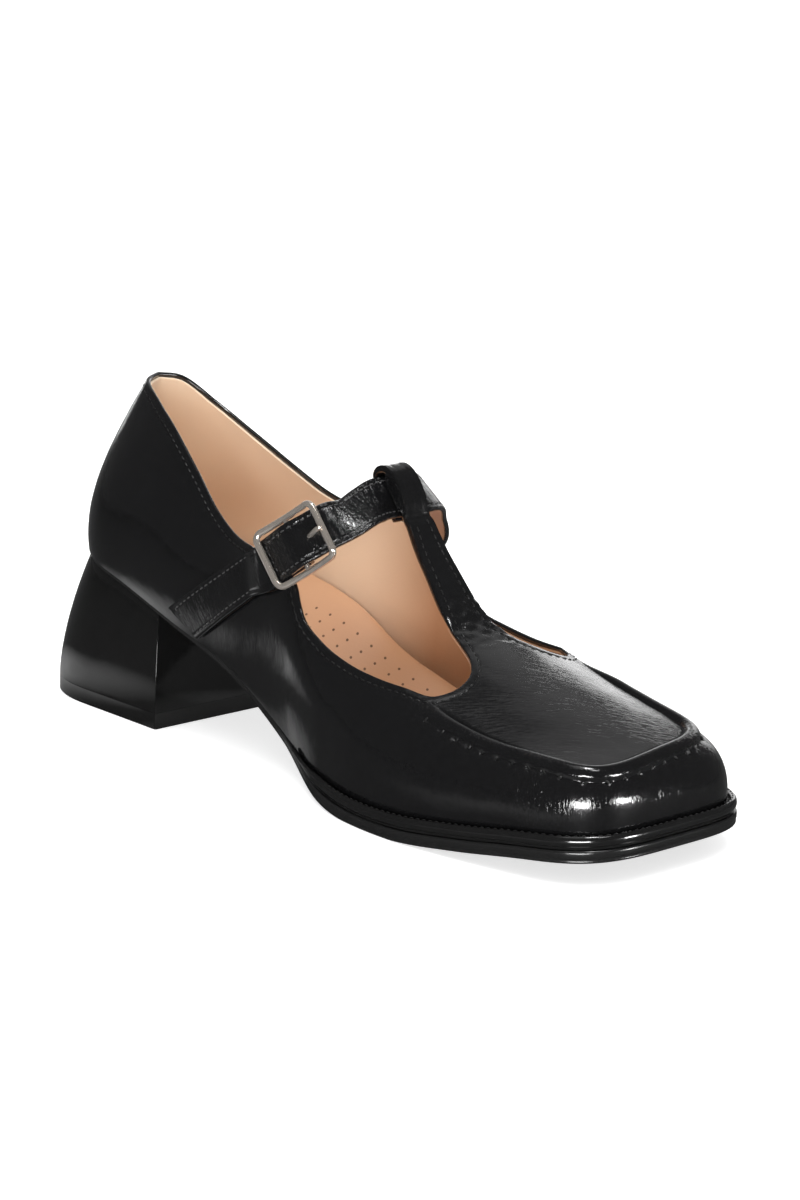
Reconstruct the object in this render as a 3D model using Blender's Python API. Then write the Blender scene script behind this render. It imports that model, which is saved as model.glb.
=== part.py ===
"""T-bar pump shoe for the right foot, on a block heel.

Lengths are in millimetres in the tables and in metres in the meshes. +X runs to the toe, +Y to the
inner (medial) side and +Z up. The design frame starts at the back of the heel seat on the floor; the
finished shoe is moved so that the middle of its box stands on the origin.
"""
import bmesh
import bpy
import numpy as np

MM = 0.001
SHARP_ANGLE = 0.6
LATERAL, MEDIAL = -1, 1
SIDES = (LATERAL, MEDIAL)
COLUMN = {LATERAL: "lat", MEDIAL: "med"}

# General sizes
GAP = 0.3
WALL = 2.0
SHOE_LENGTH = 248.0
INSOLE_THICK = 3.0
INSOLE_SIDE_GAP = 0.45
HEEL_LIFT = 5.0
STRAP_WIDTH = 13.8
STRAP_THICK = 1.8
CHAPE_THICK = 1.6
EDGE_EASE = 0.3


class Table:
    """Rows of sizes along one key column, read as smooth curves."""

    def __init__(self, columns, rows):
        self.names = columns.split()
        self.rows = np.array(rows, float)

    def col(self, name):
        return self.rows[:, self.names.index(name)]

    def at(self, name, key):
        return smooth(self.rows[:, 0], self.col(name), key)

    def points(self, *names):
        return np.stack([self.col(name) for name in names], -1)


# Last: half widths and height of the feather line, where the upper's wall meets the sole
FOOT = Table("x lat med z", [
    (0, 27.0, 26.0, 49.6),
    (30, 28.9, 27.3, 43.8),
    (60, 30.0, 25.6, 35.7),
    (90, 30.3, 23.2, 26.9),
    (118, 32.6, 24.8, 14.2),
    (145, 40.0, 32.0, 5.0),
    (160, 43.0, 35.8, 3.6),
    (182, 43.6, 38.8, 3.6),
    (205, 40.8, 38.2, 5.9),
    (230, 36.5, 34.0, 9.2),
    (248, 33.0, 29.6, 10.6)])
HEEL_CAP = (27.0, 2.26)
TOE_CAP = (28.0, 4.0)

# Belly of the wall: how far its control point lies outside the feather line, and how high
BELLY = Table("x out rise", [
    (0, 2.4, 0.42),
    (30, 3.4, 0.45),
    (60, 4.5, 0.50),
    (118, 4.5, 0.55),
    (145, 4.0, 0.62),
    (175, 3.0, 0.75),
    (205, 2.5, 0.80),
    (251, 2.5, 0.75)])

# Topline of the quarters, from the back to the throat
COLLAR = {
    LATERAL: Table("x y z", [
        (15.5, 0.0, 103.2),
        (20.5, -7.8, 102.8),
        (33.5, -14.0, 98.6),
        (49.0, -19.0, 92.0),
        (63.0, -21.8, 82.3),
        (77.0, -24.5, 72.0),
        (88.7, -27.0, 67.4),
        (98.0, -29.5, 66.6),
        (112.0, -31.8, 65.2),
        (119.5, -32.8, 63.2),
        (123.5, -33.2, 60.0),
        (125.5, -33.8, 56.0),
        (129.0, -34.6, 51.3),
        (137.0, -35.3, 46.8),
        (149.0, -35.5, 43.0),
        (163.0, -34.5, 40.8)]),
    MEDIAL: Table("x y z", [
        (15.5, 0.0, 103.2),
        (17.0, 8.0, 101.8),
        (25.5, 16.0, 94.0),
        (41.0, 20.8, 84.8),
        (58.0, 23.0, 77.0),
        (73.0, 25.0, 70.8),
        (88.0, 26.8, 68.0),
        (98.0, 28.0, 68.3),
        (112.0, 29.0, 66.8),
        (119.5, 29.4, 62.8),
        (123.5, 29.6, 58.2),
        (125.5, 29.8, 53.2),
        (129.0, 30.0, 49.3),
        (137.0, 30.2, 45.2),
        (149.0, 30.3, 42.9),
        (163.0, 30.0, 41.7)])}

# Bead seam of the apron: half widths, with a rounded square front that is skewed a little
SEAM = Table("x lat med", [
    (172, 32.9, 29.6),
    (196, 33.4, 28.4),
    (212, 32.4, 26.8),
    (228, 29.8, 24.4),
    (240.8, 26.8, 22.0)])
SEAM_CAP = (13.0, 3.4)
SEAM_SKEW = 0.15
BEAD_HALF = 2.3
BEAD_HEIGHT = 1.8
BEAD_FADE = (178.0, 198.0)

# Crown of the apron: ridge height, and how far it has dropped at the half width
CROWN = Table("x z half drop", [
    (160, 55.6, 34.0, 9.5),
    (165, 51.8, 34.0, 9.5),
    (170, 49.6, 34.0, 9.5),
    (180, 46.8, 34.0, 9.6),
    (190, 44.4, 34.0, 9.8),
    (200, 42.0, 34.0, 9.4),
    (212, 39.2, 34.0, 8.0),
    (226, 35.4, 33.0, 4.4),
    (240, 31.6, 31.0, 1.2),
    (247, 29.8, 30.0, 0.8)])

# Edge of each cut-out beside the T-bar, from the seam's start to the foot of the bar
THROAT = {
    LATERAL: Table("x y", [(181.5, -29.6), (184.2, -24.0), (183.0, -17.8), (178.5, -13.2),
                           (169.5, -9.2)]),
    MEDIAL: Table("x y", [(179.0, 26.2), (181.6, 21.0), (180.5, 15.8), (176.5, 12.0),
                          (169.0, 9.0)])}
BAR_FOOT = (163.0, 7.6)

# T-bar: its outer face from the foot up over the strap, with half widths
BAR = Table("x z half", [
    (157.5, 58.6, 6.6),
    (151.4, 65.5, 5.7),
    (147.4, 70.0, 5.3),
    (144.6, 73.8, 5.0),
    (142.2, 77.4, 4.7)])
BAR_THICK = 2.2
FOLD_THICK = 1.6
FOLD_END = -6.9

# Where the strap goes through the loop: middle of the strap and its slope across the foot
LOOP = np.array([131.4, 0.0, 84.4])
LOOP_UP = np.array([-0.65, 0.0, 0.76])
LOOP_OUT = np.array([0.76, 0.0, 0.65])

# Rolled loop at the top of the T-bar: its outer face up the strap's front, over it and down behind
LOOP_ROLL = Table("up out half", [
    (-8.6, 3.75, 4.5),
    (-5.5, 5.0, 4.4),
    (-2.1, 6.0, 4.3),
    (1.2, 6.5, 4.2),
    (4.6, 6.1, 4.2),
    (7.4, 4.9, 4.2),
    (9.3, 2.9, 4.2),
    (9.9, 0.6, 4.2),
    (9.2, -1.6, 4.2),
    (7.4, -2.75, 4.2)])

# Outsole: how far it stands out from the wall, and its thickness
SOLE = Table("x out thick", [
    (0, -0.7, 1.4),
    (60, -0.7, 1.4),
    (90, -0.5, 1.9),
    (116, -0.1, 2.6),
    (134, 1.2, 3.4),
    (150, 2.7, 3.6),
    (166, 3.3, 3.6),
    (251, 3.3, 3.6)])
SOLE_EDGE = Table("out down", [
    (-0.35, 0.0),
    (0.0, 0.12),
    (0.0, 0.55),
    (-0.25, 0.7),
    (-0.1, 0.88),
    (-0.5, 1.0)])
SOLE_EDGE_START = (110.0, 140.0)
INSOLE_EDGE = Table("out up", [(-1.2, 1.0), (0.0, 0.75), (0.0, 0.25), (-0.5, 0.0)])

# Welt: section beside the wall, and where it starts on each side of the waist
WELT = Table("out up", [(1.2, 0.3), (1.4, 3.5), (1.8, 4.0), (2.4, 4.0), (2.9, 3.5), (3.2, 2.6),
                        (3.1, 1.5), (2.6, 0.8), (2.6, 0.3)])
WELT_TAPER = (128.0, 148.0)
WELT_LOW = 0.35
WELT_NARROW = 0.5
WELT_TUCK = -0.6
WELT_CLEAR = 0.6

# Heel: plan of its foot, and its upright profile
HEEL_BACK = -9.6
HEEL_FRONT = 57.0
HEEL_TOP_FRONT = 54.0
HEEL_HALF = 32.6
HEEL_FOOT_CAP = (32.0, 2.6)
HEEL_RISE = (0.0, 0.06, 0.25, 0.5, 0.75, 0.96, 1.0)
HEEL_SINK = (0.5, 0.0, 0.0, 0.0, 0.0, 0.0, 0.6)
HEEL_FLARE = 1.6
HEEL_MIDDLE = np.array([30.0, 0.0, 0.0])
HEEL_TOP_INSET = 0.1
LIFT_EDGE = Table("z sink", [(HEEL_LIFT, 0.5), (HEEL_LIFT - 0.5, 0.0), (0.5, 0.0), (0.0, 0.5)])

# Buckle: middle, directions along the strap and across it, and sizes
BUCKLE = np.array([125.6, -35.6, 73.2])
BUCKLE_ALONG = np.array([0.759, 0.297, 0.579])
BUCKLE_ACROSS = np.array([-0.583, -0.085, 0.808])
BUCKLE_LENGTH = 24.4
BUCKLE_WIDTH = 19.5
BUCKLE_CORNER = 2.4
BUCKLE_WIRE = 1.05
BUCKLE_DIP = 1.6
BAR_RADIUS = 0.9
PRONG_WIRE = 0.75

# Routes near the buckle: along the strap and out of it
STRAP_AT_BUCKLE = Table("along out", [
    (11.2, -2.3),
    (5.6, -0.95),
    (0.0, 0.55),
    (-5.6, -0.95),
    (-10.9, -2.3),
    (-12.0, -2.45)])
CHAPE_AT_BUCKLE = Table("along out", [(-15.0, -4.7), (-11.4, -4.45), (-5.0, -3.95)])
PRONG_ROUTE = Table("along out", [(2.8, -2.3), (5.2, -0.75), (8.0, 1.1), (10.2, 2.15), (12.2, 2.25)])
CHAPE_HOOK = (-90.0, 5.0)
PRONG_HOOK = (190.0, 310.0)
HOLE_REACH = 4.5
HOLE_ROOM = 0.4
SLOT_BACK = 3.6
SLOT_LENGTH = 8.0
SLOT_DROP = 1.0
SLOT_DEPTH = 4.5
SLOT_ROOM = 0.5

# Sewn ends of the straps on the quarters: middle line and slant of the cut
SEWN = Table("x z", [(70.5, 37.6), (82.0, 45.4), (102.0, 58.8)])
SEWN_SLANT = 7.0
SLANT_FADE = 16.0

# Free stretches of the strap over the instep: places and outward directions
STRAP_OVER = {
    MEDIAL: Table("x y z nx ny nz", [
        (112.0, 31.2, 66.0, 0.15, 0.95, 0.25),
        (121.6, 22.2, 77.6, 0.36, 0.74, 0.57),
        (128.9, 13.4, 83.4, 0.62, 0.3, 0.72),
        (131.4, 6.0, 84.4, 0.76, 0.0, 0.65)]),
    LATERAL: Table("x y z nx ny nz", [
        (131.4, -6.0, 84.4, 0.76, 0.0, 0.65),
        (133.9, -14.8, 83.6, 0.6, -0.38, 0.7),
        (135.5, -22.9, 81.8, 0.42, -0.72, 0.53)])}


def smooth(keys, values, key):
    """Cubic curve through values, with slopes taken from the neighbours."""
    keys = np.asarray(keys, float)
    values = np.asarray(values, float)
    key = np.clip(np.asarray(key, float), keys[0], keys[-1])
    flat = (-1,) + (1,) * (values.ndim - 1)
    step = np.diff(keys).reshape(flat)
    rise = np.diff(values, axis=0) / step
    slope = np.empty_like(values)
    slope[0] = rise[0]
    slope[-1] = rise[-1]
    slope[1:-1] = (rise[:-1] * step[1:] + rise[1:] * step[:-1]) / (step[:-1] + step[1:])
    i = np.clip(np.searchsorted(keys, key) - 1, 0, len(keys) - 2)
    h = keys[i + 1] - keys[i]
    t = (key - keys[i]) / h
    if values.ndim > 1:
        t = t[..., None]
        h = h[..., None]
    start = (2 * t**3 - 3 * t**2 + 1) * values[i] + (t**3 - 2 * t**2 + t) * h * slope[i]
    end = (3 * t**2 - 2 * t**3) * values[i + 1] + (t**3 - t**2) * h * slope[i + 1]
    return start + end


def lengths(points):
    steps = np.linalg.norm(np.diff(points, axis=0), axis=1)
    return np.concatenate([[0.0], np.cumsum(steps)])


def through(points, count):
    """Smooth curve through points, evenly sampled."""
    points = np.asarray(points, float)
    run = lengths(points)
    return smooth(run, points, np.linspace(0, run[-1], count))


def sample(keys, points, at):
    return np.stack([np.interp(at, keys, points[:, k]) for k in range(points.shape[1])], -1)


def along(points, fractions):
    """Points at fractions of a polyline's length."""
    run = lengths(points)
    return sample(run, points, np.asarray(fractions) * run[-1])


def across(points, fractions):
    """Points at even steps of x along a polyline."""
    x = points[:, 0]
    return sample(x, points, x[0] + np.asarray(fractions) * (x[-1] - x[0]))


def unit(v):
    return v / (np.linalg.norm(v, axis=-1, keepdims=True) + 1e-12)


def ramp(x, start, end):
    t = np.clip((np.asarray(x, float) - start) / (end - start), 0, 1)
    return t * t * (3 - 2 * t)


def cap(distance, reach, power):
    """Rounded end of an outline: 0 at the tip and 1 from reach on."""
    q = np.clip(1 - np.asarray(distance, float) / reach, 0, 1)
    return np.clip(1 - q**power, 0, 1)**(1 / power)


# Main curves of the last

DENSE = 500
FLAT_AREA = 0.01
PART_SAMPLES = 80
FRONT_FROM = 150.0
SOLVE_STEPS = 20
SOLVE_STEP = 0.01
SOLVE_FROM = 0.3
FOOT_SPLIT = (40.0, 174.0)
COLLAR_SPLIT = 46.0


def crown(x, y):
    """Height of the apron's top."""
    return CROWN.at("z", x) - CROWN.at("drop", x) * (np.abs(y) / CROWN.at("half", x))**2


def feather(side):
    turn = np.linspace(0, np.pi, DENSE)
    x = SHOE_LENGTH * (1 - np.cos(turn)) / 2
    half = FOOT.at(COLUMN[side], x) * cap(x, *HEEL_CAP) * cap(SHOE_LENGTH - x, *TOE_CAP)
    return np.stack([x, side * half, FOOT.at("z", x)], -1)


def seam(side):
    start, end = SEAM.rows[0, 0], SEAM.rows[-1, 0]
    x = start + (end - start) * np.sin(np.linspace(0, np.pi / 2, DENSE))
    y = side * SEAM.at(COLUMN[side], x) * cap(end - x, *SEAM_CAP)
    x = x - SEAM_SKEW * y * ramp(x, start, end)
    return np.stack([x, y, crown(x, y)], -1)


def collar(side):
    rows = COLLAR[side].points("x", "y", "z")
    return through(np.vstack([rows, seam(side)[:1]]), DENSE)


def corner(curve):
    """Index where a rounded front turns halfway."""
    step = np.abs(np.diff(curve[:, :2], axis=0))
    return int(np.argmax((step[:, 1] > step[:, 0]) & (curve[1:, 0] > FRONT_FROM)))


def outward(curve, side):
    """Plan normal of a curve, away from the foot."""
    step = np.gradient(curve[:, :2], axis=0)
    normal = unit(np.stack([step[:, 1], -step[:, 0]], -1)) * -side
    normal[0] = (-1, 0)
    normal[-1] = (1, 0)
    return np.hstack([normal, np.zeros((len(curve), 1))])


class Side:
    """Feather line, belly and topline of one side by station: 0-1 back, 1-2 quarter, 2-3 flank, 3-4 toe."""

    def __init__(self, side):
        self.side = side
        q = np.linspace(0, 1, PART_SAMPLES)
        self.station = np.concatenate([k + q for k in range(4)])
        foot = feather(side)
        foot = np.hstack([foot, outward(foot, side)])
        back = np.searchsorted(foot[:, 0], FOOT_SPLIT[0])
        ball = np.searchsorted(foot[:, 0], FOOT_SPLIT[1])
        toe = corner(foot)
        foot = np.vstack([along(foot[:back + 1], q), across(foot[back:ball + 1], q),
                          along(foot[ball:toe + 1], q), along(foot[toe:], q)])
        self.foot = foot[:, :3]
        self.normal = unit(foot[:, 3:])
        rim = collar(side)
        back = int(np.argmax(rim[:, 0] > COLLAR_SPLIT))
        bead = seam(side)
        toe = corner(bead)
        self.top = np.vstack([along(rim[:back + 1], q), across(rim[back:], q),
                              along(bead[:toe + 1], q), along(bead[toe:], q)])
        height = self.top[:, 2] - self.foot[:, 2]
        out = BELLY.at("out", self.foot[:, 0])
        rise = BELLY.at("rise", self.foot[:, 0]) * height
        self.belly = self.foot + self.normal * out[:, None] + np.array([0, 0, 1.0]) * rise[:, None]

    def get(self, curve, station):
        return sample(self.station, getattr(self, curve), station)

    def wall(self, station, v):
        """Outer face of the upper's wall, v from 0 at the sole to 1 at the top."""
        v = np.asarray(v, float)[..., None]
        return ((1 - v)**2 * self.get("foot", station) + 2 * v * (1 - v) * self.get("belly", station)
                + v**2 * self.get("top", station))

    def on_wall(self, x, z):
        """Point and normal of the wall where it has the given x and z."""
        p = np.array([1 + (x - FOOT_SPLIT[0]) / (FOOT_SPLIT[1] - FOOT_SPLIT[0]), SOLVE_FROM])
        for _ in range(SOLVE_STEPS):
            here = self.wall(p[0], p[1])
            by_station = (self.wall(p[0] + SOLVE_STEP, p[1]) - here) / SOLVE_STEP
            by_v = (self.wall(p[0], p[1] + SOLVE_STEP) - here) / SOLVE_STEP
            jacobian = np.array([[by_station[0], by_v[0]], [by_station[2], by_v[2]]])
            p = p + np.linalg.solve(jacobian, np.array([x - here[0], z - here[2]]))
        normal = unit(np.cross(by_station, by_v))
        return self.wall(p[0], p[1]), normal * np.sign(normal[1] * self.side)


# Mesh helpers: a shape is a list of points and a list of faces

def grid_faces(rows, columns, start=0):
    faces = []
    for i in range(rows - 1):
        for j in range(columns - 1):
            a = start + i * columns + j
            faces.append((a, a + 1, a + columns + 1, a + columns))
    return faces


def weld(points, faces, digits=3):
    """Join points that fall together, and drop faces that collapse."""
    _, first, index = np.unique(np.round(points, digits), axis=0, return_index=True, return_inverse=True)
    index = index.ravel()
    kept = []
    for face in faces:
        loop = []
        for corner_index in index[list(face)]:
            if corner_index not in loop:
                loop.append(int(corner_index))
        if len(loop) > 2:
            kept.append(tuple(loop))
    return points[first], kept


def ring_faces(rows, count, closed=False):
    faces = []
    for i in range(rows if closed else rows - 1):
        for j in range(count):
            k = (j + 1) % count
            a = (i + 1) % rows
            faces.append((i * count + j, i * count + k, a * count + k, a * count + j))
    return faces


def loft(rings):
    """Closed solid through rings of equal count. An end ring that isn't folded flat is filled."""
    rings = np.asarray(rings, float)
    n, m = rings.shape[:2]
    faces = ring_faces(n, m)
    for ring, loop in ((rings[0], range(m - 1, -1, -1)), (rings[-1], range((n - 1) * m, n * m))):
        if np.linalg.norm(np.cross(ring - ring[0], np.roll(ring, -1, 0) - ring[0]).sum(0)) > FLAT_AREA:
            faces.append(tuple(loop))
    return weld(rings.reshape(-1, 3), faces)


def ladder(left, right, rungs):
    """Solid from side profiles: left and right hold, for each station, points from top to bottom."""
    q = np.linspace(0, 1, rungs + 1)[1:-1, None]
    rings = []
    for a, b in zip(left, right):
        top = a[0] + (b[0] - a[0]) * q
        bottom = b[-1] + (a[-1] - b[-1]) * q
        rings.append(np.vstack([a[:1], top, b, bottom, a[:0:-1]]))
    return loft(rings)


def shell(points, faces, thick, bump, level):
    """Wall of real thickness on a sheet: bump raises its outer face, level keeps points at their height."""
    normal = np.zeros_like(points)
    for face in faces:
        p = points[list(face)]
        turn = np.cross(p[2] - p[0], p[-1] - p[1] if len(p) > 3 else p[2] - p[1])
        for corner_index in face:
            normal[corner_index] += turn
    normal[level, 2] = 0
    normal = unit(normal)
    outer = points + normal * bump[:, None]
    inner = points - normal * thick[:, None]
    n = len(points)
    edges = {}
    for face in faces:
        for a, b in zip(face, face[1:] + face[:1]):
            edges[(a, b)] = edges.get((a, b), 0) + 1
    rim = [(b, a, a + n, b + n) for (a, b) in edges if (b, a) not in edges]
    flipped = [tuple(k + n for k in face[::-1]) for face in faces]
    return np.vstack([outer, inner]), list(faces) + flipped + rim


def sweep(path, normals, section, closed=False, slant=0.0):
    """Section of (across, out) points carried along a path. Slant cuts its start askew, and fades out."""
    path = np.asarray(path, float)
    if closed:
        tangent = unit(np.roll(path, -1, 0) - np.roll(path, 1, 0))
    else:
        tangent = unit(np.gradient(path, axis=0))
    side = unit(np.cross(normals, tangent))
    out = np.cross(tangent, side)
    lean = slant / 2 * np.clip(1 - lengths(path) / SLANT_FADE, 0, 1)
    reach = section[:, :1] / np.abs(section).max()
    rings = []
    for p, s, o, t, push in zip(path, side, out, tangent, lean):
        rings.append(p + section[:, :1] * s + section[:, 1:] * o + reach * push * t)
    if closed:
        return np.vstack(rings), ring_faces(len(rings), len(section), closed=True)
    return loft(rings)


def band_section(width, thick):
    """Strap section with eased edges."""
    w, t, e = width / 2, thick / 2, thick * EDGE_EASE
    return np.array([(-w, -t + e), (-w + e, -t), (w - e, -t), (w, -t + e), (w, t - e), (w - e, t),
                     (-w + e, t), (-w, t - e)])


def wire_section(radius, sides=8):
    turn = np.arange(sides) * 2 * np.pi / sides
    return np.stack([np.cos(turn), np.sin(turn)], -1) * radius


# Upper

BACK_STATIONS = (0.0, 0.14, 0.28, 0.42, 0.57, 0.72, 0.86)
QUARTER_X = (46.0, 58.0, 70.0, 81.0, 91.0, 101.0, 111.0, 118.5, 123.0, 125.0, 128.0, 133.0, 141.0,
             152.0, 163.0)
FLANK_STEPS = (0.0, 0.12, 0.24, 0.36, 0.48, 0.6, 0.72, 0.83, 0.91, 0.955, 0.98)
TOE_STEPS = (0.0, 0.03, 0.06, 0.11, 0.2, 0.3, 0.4, 0.5, 0.6, 0.7, 0.8, 0.9, 1.0)
WALL_ROWS = (0.0, 0.13, 0.28, 0.44, 0.6, 0.78, 1.0)
EDGE_ROWS = (3.4, 2.3, 1.2, 0.0)
THROAT_STEPS = (0.0, 0.03, 0.06, 0.1, 0.2, 0.3, 0.4, 0.52, 0.66, 0.82, 1.0)
BAR_STEPS = (0.5, 1.0)
BAR_COLUMNS = np.array([-1, -0.5, 0, 0.5, 1])
BAR_ROWS = 36
SAG_ROWS = 15
FOLD_ROWS = 5
THIN_ROWS = 8
SEAM_SAMPLES = 160


def wall_stations(side):
    first = COLLAR_SPLIT
    last = side.get("top", 2.0)[0]
    quarter = [1 + (x - first) / (last - first) for x in QUARTER_X]
    flank = [2 + q for q in FLANK_STEPS]
    toe = [3 + q for q in TOE_STEPS]
    return np.array(list(BACK_STATIONS) + quarter + flank + toe)


def wall_grid(side):
    """Rows from sole to top by columns from back to toe."""
    station = wall_stations(side)
    reach = 2 * np.linalg.norm(side.get("top", station) - side.get("belly", station), axis=1)
    fine = [1 - d / reach for d in EDGE_ROWS]
    coarse = [fine[0] * v for v in WALL_ROWS]
    grid = np.stack([side.wall(station, v) for v in coarse + fine[1:]])
    grid[0, :, 2] += GAP
    return grid


def throat_row(sides):
    """Front edge of the opening, from one end of the seam to the other, across the bar's foot."""
    halves = []
    for k in SIDES:
        start = sides[k].get("top", 2.0)[:2]
        foot = (BAR_FOOT[0], k * BAR_FOOT[1])
        edge = through(np.vstack([start, THROAT[k].points("x", "y"), foot]), DENSE)
        half = along(edge, THROAT_STEPS)
        bar = [(BAR_FOOT[0], k * BAR_FOOT[1] * (1 - q)) for q in BAR_STEPS]
        halves.append(np.vstack([half, bar]))
    row = np.vstack([halves[0], halves[1][-2::-1]])
    return np.column_stack([row, crown(row[:, 0], row[:, 1])])


def apron_grid(sides):
    """Rows from throat to toe by columns from lateral to medial."""
    flank = np.array(list(FLANK_STEPS) + [1.0])
    toe = np.array(TOE_STEPS)
    left = sides[LATERAL].get("top", 2 + flank)
    right = sides[MEDIAL].get("top", 2 + flank)
    front = np.vstack([sides[LATERAL].get("top", 3 + toe), sides[MEDIAL].get("top", 3 + toe[-2::-1])])
    back = throat_row(sides)
    u = (lengths(front) / lengths(front)[-1] + lengths(back) / lengths(back)[-1])[None, :, None] / 2
    w = flank[:, None, None]
    plain = (1 - u) * left[:, None] + u * right[:, None] + (1 - w) * back[None] + w * front[None]
    back_corners = (1 - w) * ((1 - u) * back[0] + u * back[-1])
    front_corners = w * ((1 - u) * front[0] + u * front[-1])
    grid = plain - back_corners - front_corners
    inside = (slice(1, -1), slice(1, -1))
    grid[inside][..., 2] = crown(grid[inside][..., 0], grid[inside][..., 1])
    return grid


def bar_rows():
    """Rows of the T-bar from its foot, over the strap, and folded back behind it."""
    foot = np.array([BAR_FOOT[0], 0.0, crown(BAR_FOOT[0], 0.0)])
    roll = LOOP + LOOP_ROLL.points("up") * LOOP_UP + LOOP_ROLL.points("out") * LOOP_OUT
    roll = np.column_stack([roll[:, [0, 2]], LOOP_ROLL.col("half")])
    rows = np.vstack([[foot[0], foot[2], BAR_FOOT[1]], BAR.points("x", "z", "half"), roll])
    spine = through(rows, BAR_ROWS)
    behind = np.linspace(LOOP_ROLL.rows[-1, 0], FOLD_END, FOLD_ROWS)[1:, None]
    inner = STRAP_THICK / 2 + GAP + FOLD_THICK
    fold = LOOP + behind * LOOP_UP - inner * LOOP_OUT
    line = np.vstack([np.column_stack([spine[:, 0], np.zeros(len(spine)), spine[:, 1]]), fold])
    half = np.concatenate([spine[:, 2], np.full(len(fold), spine[-1, 2])])
    grid = np.repeat(line[:, None], len(BAR_COLUMNS), axis=1)
    grid[:, :, 1] = half[:, None] * BAR_COLUMNS
    thick = np.full(grid.shape[:2], BAR_THICK)
    stand = (line - LOOP) @ LOOP_OUT - STRAP_THICK / 2 - GAP
    beside = np.abs((line - LOOP) @ LOOP_UP) < STRAP_WIDTH / 2
    thick = np.where(beside[:, None], np.maximum(thick, stand[:, None]), thick)
    thick[-THIN_ROWS:] = FOLD_THICK
    foot_y = BAR_FOOT[1] * BAR_COLUMNS
    foot_z = crown(BAR_FOOT[0], foot_y)
    grid[0] = np.column_stack([np.full(len(foot_y), BAR_FOOT[0]), foot_y, foot_z])
    sag = (foot_z - foot[2])[None] * np.linspace(1, 0, SAG_ROWS)[:, None]
    grid[1:SAG_ROWS, :, 2] += sag[1:]
    return grid, thick


def seam_distance(points, sides):
    line = np.vstack([sides[LATERAL].get("top", np.linspace(2, 4, SEAM_SAMPLES)),
                      sides[MEDIAL].get("top", np.linspace(4, 2, SEAM_SAMPLES))])
    a, b = line[:-1], line[1:]
    step = b - a
    q = ((points[:, None] - a) * step).sum(-1) / ((step * step).sum(-1) + 1e-9)
    near = a + np.clip(q, 0, 1)[..., None] * step
    return np.linalg.norm(points[:, None] - near, axis=-1).min(1)


def upper(sides):
    points, faces, thick, level = [], [], [], []

    def add(grid, grid_thick, flip, floor_row=False):
        start = sum(len(p) for p in points)
        rows, columns = grid.shape[:2]
        points.append(grid.reshape(-1, 3))
        thick.append(np.broadcast_to(grid_thick, (rows, columns)).ravel())
        on_floor = np.zeros((rows, columns), bool)
        on_floor[0] = floor_row
        level.append(on_floor.ravel())
        for quad in grid_faces(rows, columns, start):
            faces.append(quad[::-1] if flip else quad)

    add(wall_grid(sides[LATERAL]), WALL, False, True)
    add(wall_grid(sides[MEDIAL]), WALL, True, True)
    add(apron_grid(sides), WALL, True)
    bar, bar_thick = bar_rows()
    add(bar, bar_thick, False)
    points = np.vstack(points)
    data = np.column_stack([np.concatenate(thick), np.concatenate(level)])
    _, first = np.unique(np.round(points, 3), axis=0, return_index=True)
    data = data[first]
    points, faces = weld(points, faces)
    fade = ramp(points[:, 0], *BEAD_FADE)
    d = np.clip(seam_distance(points, sides) / BEAD_HALF, 0, 1)
    bump = BEAD_HEIGHT * fade * np.sqrt(1 - d * d)
    return shell(points, faces, data[:, 0], bump, data[:, 1] > 0)


# Sole, welt, insole and heel

SOLE_STATIONS = np.concatenate([
    np.array([0.0, 0.08, 0.18, 0.3, 0.45, 0.6, 0.8]),
    1 + np.arange(14) / 14,
    2 + np.array([0.0, 0.15, 0.3, 0.45, 0.6, 0.75, 0.88]),
    3 + np.array([0.0, 0.12, 0.26, 0.42, 0.62, 0.82, 1.0])])
RUNGS = 4
WELT_WAIST_STEPS = 8
WELT_FLANK = 2 + np.array([0.0, 0.2, 0.4, 0.6, 0.72, 0.83, 0.91])
WELT_TOE = 3 + np.array([0.0, 0.1, 0.2, 0.3, 0.5, 0.75, 1.0])


def edge_profile(side, station, out, up):
    """Side points of a flat piece: out from the feather line and up from it, one row of each per point."""
    foot = side.get("foot", station)[:, None]
    normal = unit(side.get("normal", station))[:, None]
    return foot + normal * out[..., None] + np.array([0, 0, 1.0]) * up[..., None]


def outsole(sides):
    profiles = []
    for k in SIDES:
        x = sides[k].get("foot", SOLE_STATIONS)[:, 0]
        thick = SOLE.at("thick", x)[:, None]
        out = SOLE.at("out", x)[:, None] + SOLE_EDGE.col("out") * ramp(x, *SOLE_EDGE_START)[:, None]
        profile = edge_profile(sides[k], SOLE_STATIONS, out, -thick * SOLE_EDGE.col("down"))
        lowest = np.maximum(profile[:, -1, 2], 0)
        scale = (profile[:, 0, 2] - lowest) / (profile[:, 0, 2] - profile[:, -1, 2])
        profile[..., 2] = profile[:, :1, 2] + (profile[..., 2] - profile[:, :1, 2]) * scale[:, None]
        profiles.append(profile)
    return ladder(profiles[0], profiles[1], RUNGS)


def insole(sides):
    rows = np.zeros((len(SOLE_STATIONS), 1))
    out = INSOLE_EDGE.col("out") - WALL - INSOLE_SIDE_GAP + rows
    up = GAP + INSOLE_THICK * INSOLE_EDGE.col("up") + rows
    profiles = []
    for k in SIDES:
        profiles.append(edge_profile(sides[k], SOLE_STATIONS, out, up))
    return ladder(profiles[0], profiles[1], RUNGS)


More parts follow.
